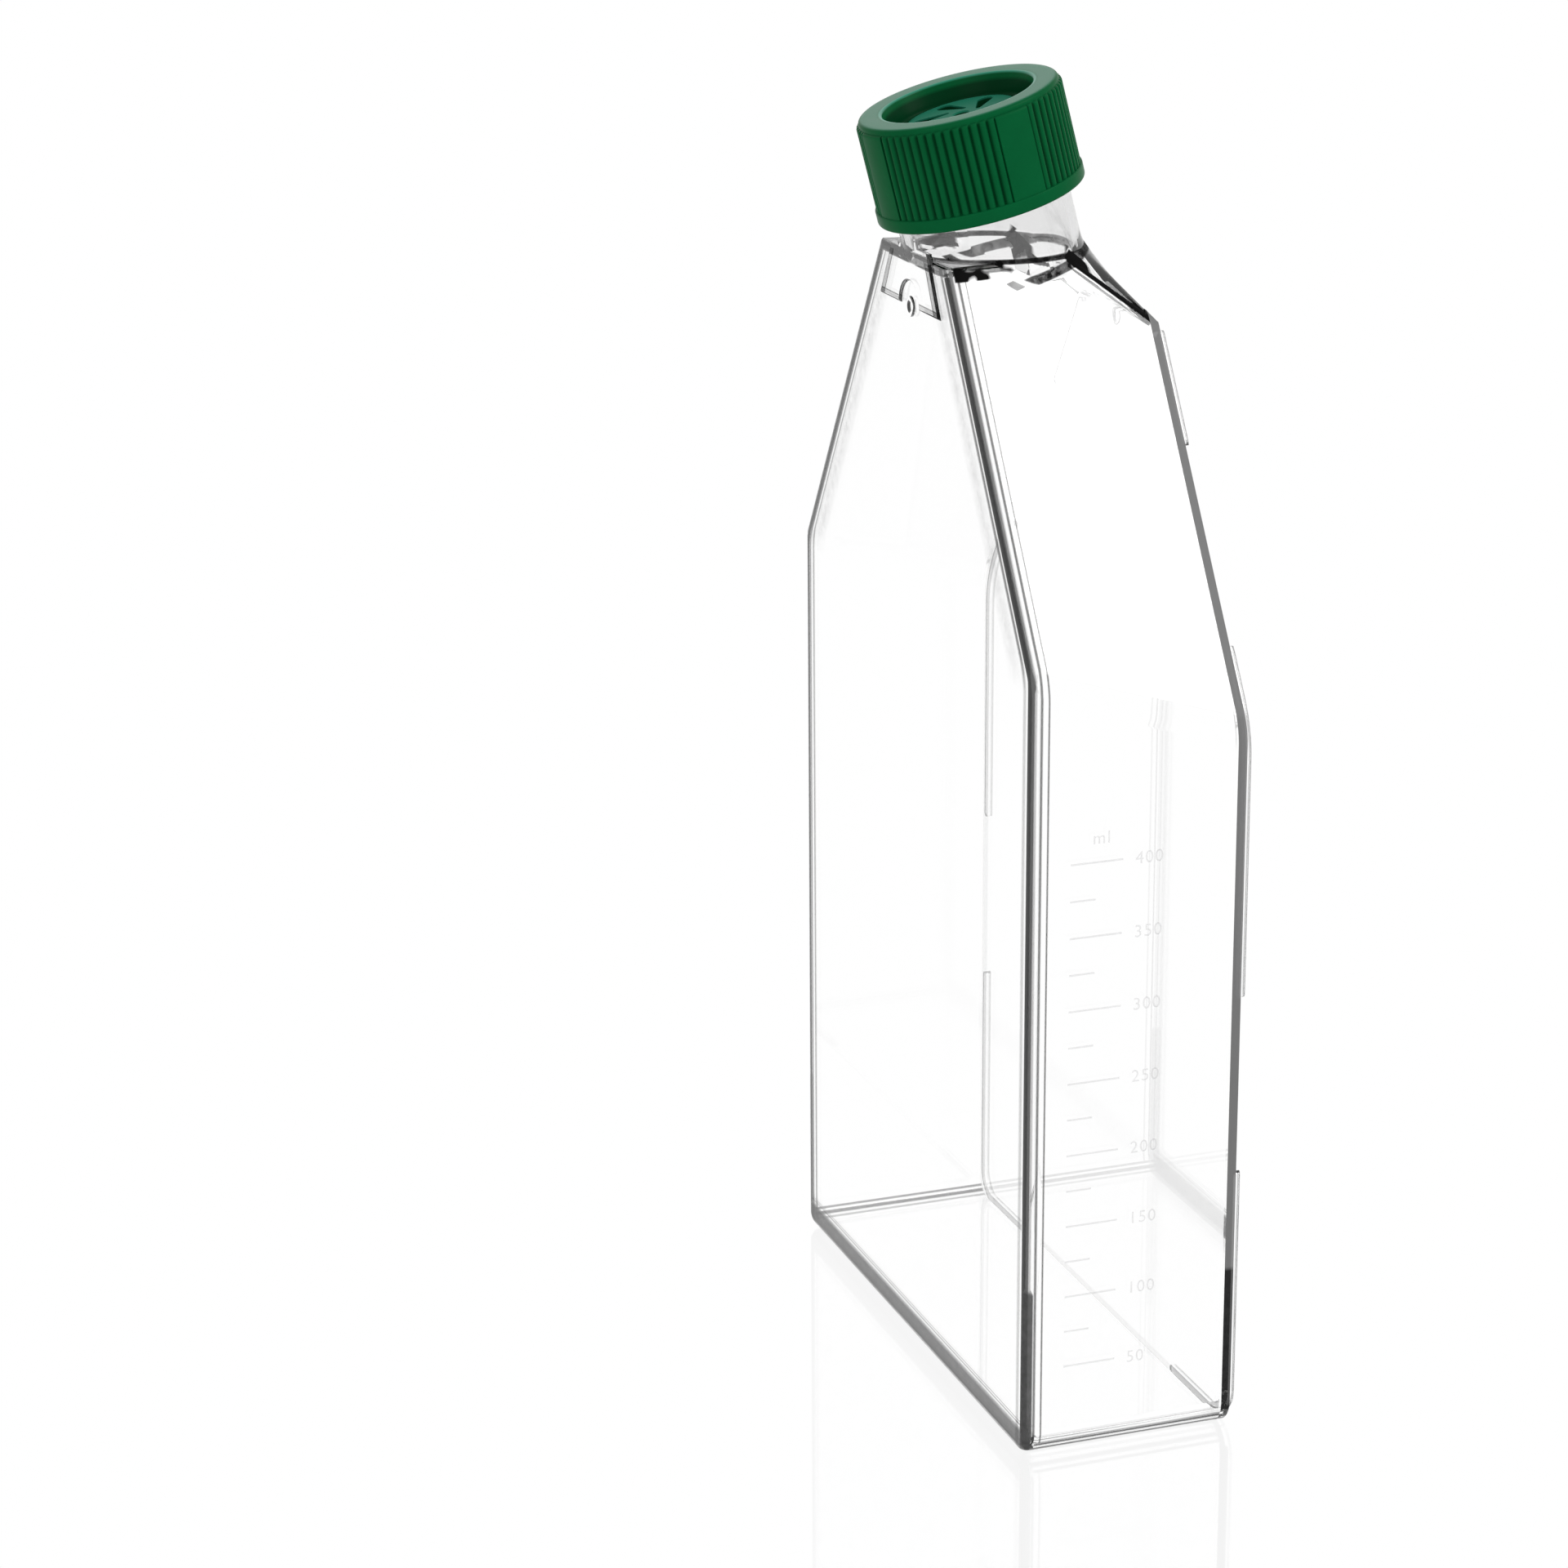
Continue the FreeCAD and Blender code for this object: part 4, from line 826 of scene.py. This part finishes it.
class FLASK_OT_plate(bpy.types.Operator):
    """Growth plate with its gate mark and foot rim."""
    bl_idname = "flask.plate"
    bl_label = "Growth plate"

    def execute(self, context):
        settings = context.scene.flask_vessel
        plate = self.slab()
        carved(plate, "UNION", gate_solid("plate_gate", HALF_DEPTH, PLATE_GATE, 0.3))
        for side in (1, -1):
            for run, route in enumerate(foot_routes()):
                mirrored = [(side * y, z) for y, z in route]
                carved(plate, "UNION", rim_solid(f"foot_rim_{run}", mirrored))
        polished(plate, clear_plastic("clear plate", settings, plate_marks))
        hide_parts("growth_plate")
        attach(plate, "flask")
        return {"FINISHED"}

    def slab(self):
        """The plate's outline at four depths, joined: round base corners, bends, crowned ramp edge."""
        def outline(x, grow):
            bend = BEND - x * math.tan(LEAN)
            corner = [(HALF_WIDTH + grow - BASE_CORNER * (1 - math.cos(a)),
                       -grow + BASE_CORNER * (1 - math.sin(a)))
                      for a in np.radians(np.linspace(0, 90, 13))]
            top = END - (x - RAMP_START) * RAMP_SLOPE
            width = HALF_WIDTH - TAPER * (top + x * math.tan(LEAN) - BEND)
            crown = (HALF_DEPTH - x) / PLATE
            knee = [(HALF_WIDTH + grow - TAPER * (k + 3) ** 2 / 12, bend + k) for k in range(-3, 4)]
            shoulder = [(width + grow, top), (15.0, top + 0.66 * crown + grow),
                        (7.5, top + 1.35 * crown + grow)]
            half = [(0.0, -grow)] + corner[::-1] + knee + shoulder
            middle = [(0.0, top + 1.55 * crown + grow)]
            return np.array(half + middle + [(-y, z) for y, z in half[:0:-1]])
        overlap = 0.02
        return stacked_solid("plate", outline, (
            (HALF_DEPTH - PLATE + overlap, 0.0), (HALF_DEPTH - 0.35, 0.0),
            (HALF_DEPTH - 0.12, -0.08), (HALF_DEPTH, -0.3)))


def rib_turns(settings):
    """Turns about the cap's axis, closer together on the ribs, and the ribs' relief there.

    Each rib has a round section: its relief is the square root of one less the squared share of
    its half width.  The smooth panels stand as high as the ribs.
    """
    quarter, pitch = math.pi / 2, settings.rib_pitch
    span = (settings.ribs - 1) * pitch
    offsets = np.array([-0.5, -0.40, -0.34, -0.24, -0.08, 0.08, 0.24, 0.34, 0.40]) * pitch
    centres = np.arange(settings.ribs) * pitch - span / 2
    ribs = (centres[:, None] + offsets[None, :]).ravel()
    relief = np.sqrt(np.clip(1 - (offsets / (0.405 * pitch)) ** 2, 0, 1))
    edge = quarter / 2 - (span / 2 + pitch / 2)
    flat = span / 2 + pitch / 2 + edge * np.array([0.0, 0.16, 0.22, 0.5, 0.999])
    panel = np.concatenate([flat, quarter - flat[::-1][1:]])
    heights = np.concatenate([np.tile(relief, settings.ribs), np.ones(len(panel))])
    turns = np.concatenate([ribs, panel]) + (settings.panel_turn + quarter / 2)
    return np.concatenate([turns + k * quarter for k in range(4)]), np.tile(heights, 4)


def cap_wall(settings, turns, relief):
    """The cap's wall as rings of a revolved profile, whose radius on the skirt follows the ribs.

    It goes from the disc's underside down the inside, round the foot, up the skirt, over the top
    ring and down the recess to the disc's top.
    """
    top, skirt, crest = settings.height, settings.skirt, settings.crest
    floor = top - RECESS
    inside = [(DISC_RADIUS, DISC_UNDER), (13.0, DISC_UNDER), (13.2, 12.9), (13.2, 16.3),
              (13.2, 16.4), (16.35, 16.4), (16.45, 16.2), (16.45, 0.4), (16.7, 0.0),
              *arc((17.65, 0.5), 0.5, -90, 0, 6), (18.15, 2.2), *arc((17.95, 2.2), 0.2, 20, 90, 4)]
    side = np.array([2.42, 2.55, 3.2, 5, 8, 11, 14, 15.8, 16.3, 16.6, 16.85, 17.0, 17.1, 17.2])
    fade = np.sqrt(np.clip(1 - (np.clip(side - 16.75, 0, None) / 0.45) ** 2, 0, 1))
    rim = [*arc((skirt - 0.75, top - 0.75), 0.75, 0, 82, 8), (16.2, top), (14.2, top),
           *arc((13.6, top - 0.5), 0.5, 90, 165, 6), (12.75, top - 1.6), (12.35, top - 2.6),
           *arc((11.5, floor + 0.7), 0.7, 0, -85, 6), (DISC_RADIUS, floor)]

    def revolved(profile):
        radius, height = np.array(profile).T
        return cap_points(radius[:, None], turns, height[:, None])

    ribbed = cap_points(skirt + (crest - skirt) * relief * fade[:, None], turns, side[:, None])
    return np.concatenate([revolved(inside), ribbed, revolved(rim)])


def cap_shell(settings):
    """Points in metres and faces of the whole cap before its vents: the wall, and a disc with half
    as many turns, whose top rises in a step and dips at the hub."""
    turns, relief = rib_turns(settings)
    wall = cap_wall(settings, turns, relief)
    rows, columns = wall.shape[:2]
    half = turns[::2]
    count = len(half)
    floor = settings.height - RECESS
    radii = np.array([DISC_RADIUS, 10.3, 9.75, 9.6, 9.45, 9.0, 7.5, 6.0, 4.5, 3.0, 2.0, 1.5, 1.1,
                      0.9])
    lift = DISC_RISE * np.interp(radii, [9.45, 9.6, 9.75, 9.8], [1, 0.85, 0.1, 0])
    hub = np.where(radii < 1.3, -0.45, 0.0)
    disc_top = cap_points(radii[:, None], half, (floor + lift + hub)[:, None])
    disc_under = cap_points(radii[:, None], half, DISC_UNDER)
    centres = cap_points(0.0, 0.0, np.array([floor + DISC_RISE - 0.6, DISC_UNDER]))
    points = np.concatenate([grid.reshape(-1, 3) for grid in (wall, disc_top, disc_under, centres)])

    top = rows * columns
    under = top + len(radii) * count
    pole = under + len(radii) * count
    faces = ring_faces(rows, columns).tolist() + ring_faces(len(radii), count, top).tolist()
    faces += ring_faces(len(radii), count, under)[:, ::-1].tolist()
    turn = np.arange(count)
    after = (turn + 1) % count
    near, middle, far = 2 * turn, 2 * turn + 1, (2 * turn + 2) % columns
    last = (rows - 1) * columns
    end_top, end_under = under - count, pole - count
    seams = [(last + near, last + middle, top + turn), (last + middle, last + far, top + after),
             (last + middle, top + after, top + turn), (middle, near, under + turn),
             (far, middle, under + after), (middle, under + turn, under + after),
             (end_top + turn, end_top + after, pole),
             (end_under + after, end_under + turn, pole + 1)]
    seams = [np.stack(np.broadcast_arrays(*corners), -1) for corners in seams]
    return points, faces + np.stack(seams, 1).reshape(-1, 3).tolist()


def vent_solid(name, turn, low, high):
    """A tool for one vent: a small and a large circle joined by their outer tangents, carried
    along the axis.

    The tangents touch both circles where the normal makes, with the line of centres, the angle
    whose cosine is the difference of the radii over the distance.
    """
    sweep, small, large = math.radians(32), 0.45, 1.35
    tip, foot = np.array([3.2, 0.0]), 7.2 * np.array([math.cos(sweep), math.sin(sweep)])
    line = foot - tip
    lead = math.degrees(math.atan2(line[1], line[0]))
    touch = math.degrees(math.acos((small - large) / np.linalg.norm(line)))
    shape = np.concatenate([arc(foot, large, lead - touch, lead + touch, 24),
                            arc(tip, small, lead + touch, lead + 360 - touch, 12)])
    radius, angle = np.hypot(shape[:, 0], shape[:, 1]), np.arctan2(shape[:, 1], shape[:, 0]) + turn
    return tube_solid(name, cap_points(radius, angle, np.array([[low], [high]])) / MM)


class FLASK_OT_cap(bpy.types.Operator):
    """Screw cap: ribbed skirt, recess and vented disc."""
    bl_idname = "flask.cap"
    bl_label = "Cap"

    def execute(self, context):
        settings = context.scene.flask_cap
        cap = mesh_piece("cap_shell", *cap_shell(settings), moulded_green(settings))
        closed(cap.data, 1e-6)
        low, high = DISC_UNDER - 0.5, settings.height - RECESS + DISC_RISE + 0.6
        for vent in range(VENTS):
            turn = vent * 2 * math.pi / VENTS
            carved(cap, "DIFFERENCE", vent_solid(f"vent_{vent}", turn, low, high))
        cap.data.set_sharp_from_angle(angle=math.radians(48))
        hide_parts("cap")
        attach(cap, "closure")
        return {"FINISHED"}


class FLASK_OT_membrane(bpy.types.Operator):
    """Filter membrane under the vents."""
    bl_idname = "flask.membrane"
    bl_label = "Membrane"

    def execute(self, context):
        part = frame["nodes"]["vent_membrane"]
        part.data.materials.clear()
        part.data.materials.append(membrane_white())
        return {"FINISHED"}


def printed_word(word, across, height, ink):
    """A word or number on the graduated wall, its place in millimetres from mid depth and up."""
    curve = bpy.data.curves.new(f"number_{word}", "FONT")
    curve.body, curve.size, curve.space_character = word, 3.1 * MM, 1.15
    maker = linked(f"number_{word}", curve)
    bpy.context.view_layer.update()
    mesh = evaluated_mesh(maker)
    bpy.data.objects.remove(maker)
    place = Matrix.Translation((across * MM, SIDE_WALL - INK, height * MM))
    mesh.transform(place @ Matrix.Rotation(math.pi / 2, 4, "X"))
    mesh.materials.clear()
    mesh.materials.append(ink)
    return linked(f"number_{word}", mesh)


class FLASK_OT_scale(bpy.types.Operator):
    """Volume scale: lines and numbers on the side wall."""
    bl_idname = "flask.scale"
    bl_label = "Volume scale"

    def execute(self, context):
        settings = context.scene.flask_print
        ink = faint_ink(settings)
        start, long, short, half_line = -12.5, 9.5, 4.6, 0.17
        index = np.arange(2 * LONG_LINES - 1)
        height = settings.top - index * settings.step / 2
        end = start + np.where(index % 2, short, long)
        starts = np.full(len(index), start)
        x = np.stack([starts, end, end, starts], 1).ravel() * MM
        z = (height[:, None] + half_line * np.array([-1, -1, 1, 1])).ravel() * MM
        points = np.stack([x, np.full(len(x), SIDE_WALL - INK), z], -1)
        faces = np.arange(len(x)).reshape(-1, 4)
        pieces = [mesh_piece("scale_lines", points, faces.tolist(), ink, smooth=False)]
        for line in range(LONG_LINES):
            volume = VOLUME_STEP * (LONG_LINES - line)
            level = settings.top - line * settings.step - 1.1
            pieces.append(printed_word(str(volume), -0.8, level, ink))
        pieces.append(printed_word("ml", -8.6, settings.top + 3.2, ink))
        for piece in pieces:
            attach(piece, "flask")
        return {"FINISHED"}


def shown(tree):
    """1 for the rays that show a surface, straight, through glass or mirrored; 0 for light."""
    path = node(tree, "ShaderNodeLightPath")
    camera, through, mirrored = (Wire(tree, path.outputs[f"Is {ray} Ray"])
                                 for ray in ("Camera", "Transmission", "Glossy"))
    return camera.most(through).most(mirrored)


class FLASK_OT_stage(bpy.types.Operator):
    """Floor, light and camera."""
    bl_idname = "flask.stage"
    bl_label = "Stage"

    def execute(self, context):
        settings = context.scene.flask_stage
        scene = context.scene
        scene.view_settings.view_transform = "Standard"
        self.surround(scene, settings)
        self.floor(settings)
        self.lamps(settings)
        self.camera(scene)
        return {"FINISHED"}

    def surround(self, scene, settings):
        """White where it is seen, softer where it lights."""
        world = bpy.data.worlds.new("surround")
        world.use_nodes = True
        tree = world.node_tree
        tree.nodes.clear()
        soft = node(tree, "ShaderNodeBackground", values={"Strength": settings.sky})
        white = node(tree, "ShaderNodeBackground", values={"Color": (1, 1, 1, 1), "Strength": 1.0})
        both = node(tree, "ShaderNodeMixShader", values={
            0: shown(tree), 1: soft.outputs[0], 2: white.outputs[0]})
        node(tree, "ShaderNodeOutputWorld", values={"Surface": both.outputs[0]})
        scene.world = world

    def floor(self, settings):
        """A wide pale disc that stays white where it is seen and mirrors a little."""
        material, tree = new_material("pale floor")
        white = node(tree, "ShaderNodeEmission", values={"Color": (1, 1, 1, 1), "Strength": 1.0})
        pale = node(tree, "ShaderNodeBsdfDiffuse", values={"Color": (0.9, 0.9, 0.9, 1)})
        mirror = node(tree, "ShaderNodeBsdfGlossy", values={
            "Color": (1, 1, 1, 1), "Roughness": 0.03})
        bright = node(tree, "ShaderNodeMixShader", values={
            0: settings.gloss, 1: white.outputs[0], 2: mirror.outputs[0]})
        both = node(tree, "ShaderNodeMixShader", values={
            0: shown(tree), 1: pale.outputs[0], 2: bright.outputs[0]})
        output(tree, both.outputs[0])
        radius, below, turn = 3.0, -0.00003, full_turn(96)
        disc = np.stack([radius * np.cos(turn), radius * np.sin(turn),
                         np.full(len(turn), below)], -1)
        mesh_piece("floor", disc, [range(len(turn))], material, smooth=False)

    def lamps(self, settings):
        """One large soft lamp high on the right and a weaker one on the left."""
        middle = Vector((0, 0, 0.15))
        for name, place, size, power in (
                ("key", (0.9, -0.7, 1.1), 0.8, settings.key),
                ("fill", (-1.0, -0.8, 0.6), 0.9, settings.key * 0.35)):
            lamp = bpy.data.lights.new(name, "AREA")
            lamp.size, lamp.energy = size, power
            holder = linked(name, lamp)
            holder.location = place
            holder.rotation_euler = (middle - Vector(place)).to_track_quat("-Z", "Y").to_euler()

    def camera(self, scene):
        """Stands in front of the graduated wall, to the left, and looks down a little."""
        place = (-0.27427, -0.66230, 0.32910)
        yaw, pitch, roll = (math.radians(angle) for angle in (19.233, 17.413, -0.407))
        ahead = Vector((math.sin(yaw) * math.cos(pitch), math.cos(yaw) * math.cos(pitch),
                        -math.sin(pitch)))
        right = Vector((math.cos(yaw), -math.sin(yaw), 0))
        up = right.cross(ahead)
        side = math.cos(roll) * right + math.sin(roll) * up
        lift = -math.sin(roll) * right + math.cos(roll) * up
        data = bpy.data.cameras.new("camera")
        data.sensor_width, data.lens = 36.0, 96.25
        data.clip_start, data.clip_end = 0.01, 20.0
        holder = linked("camera", data)
        turned = Matrix((side, lift, -ahead)).transposed().to_4x4()
        holder.matrix_world = Matrix.Translation(place) @ turned
        scene.camera = holder


OPERATORS = [FLASK_OT_vessel, FLASK_OT_plate, FLASK_OT_cap, FLASK_OT_membrane, FLASK_OT_scale,
             FLASK_OT_stage]


class FLASK_PT_panel(bpy.types.Panel):
    """The flask's pieces and their settings."""
    bl_label = "Cell culture flask"
    bl_idname = "FLASK_PT_panel"
    bl_space_type = "VIEW_3D"
    bl_region_type = "UI"
    bl_category = "Flask"

    def draw(self, context):
        layout = self.layout
        for operator in OPERATORS:
            layout.operator(operator.bl_idname)
        for name, group in SETTINGS.items():
            column = layout.column(align=True)
            for key in group.__annotations__:
                column.prop(getattr(context.scene, name), key)


def register():
    for group in SETTINGS.values():
        bpy.utils.register_class(group)
    for name, group in SETTINGS.items():
        setattr(bpy.types.Scene, name, bpy.props.PointerProperty(type=group))
    for kind in [*OPERATORS, FLASK_PT_panel]:
        bpy.utils.register_class(kind)


def unregister():
    for kind in [FLASK_PT_panel, *reversed(OPERATORS)]:
        bpy.utils.unregister_class(kind)
    for name in SETTINGS:
        delattr(bpy.types.Scene, name)
    for group in reversed(SETTINGS.values()):
        bpy.utils.unregister_class(group)


def main():
    """Makes the pieces in order."""
    register()
    bpy.ops.flask.vessel()
    bpy.ops.flask.plate()
    bpy.ops.flask.cap()
    bpy.ops.flask.membrane()
    bpy.ops.flask.scale()
    bpy.ops.flask.stage()


if __name__ == "__main__":
    main()
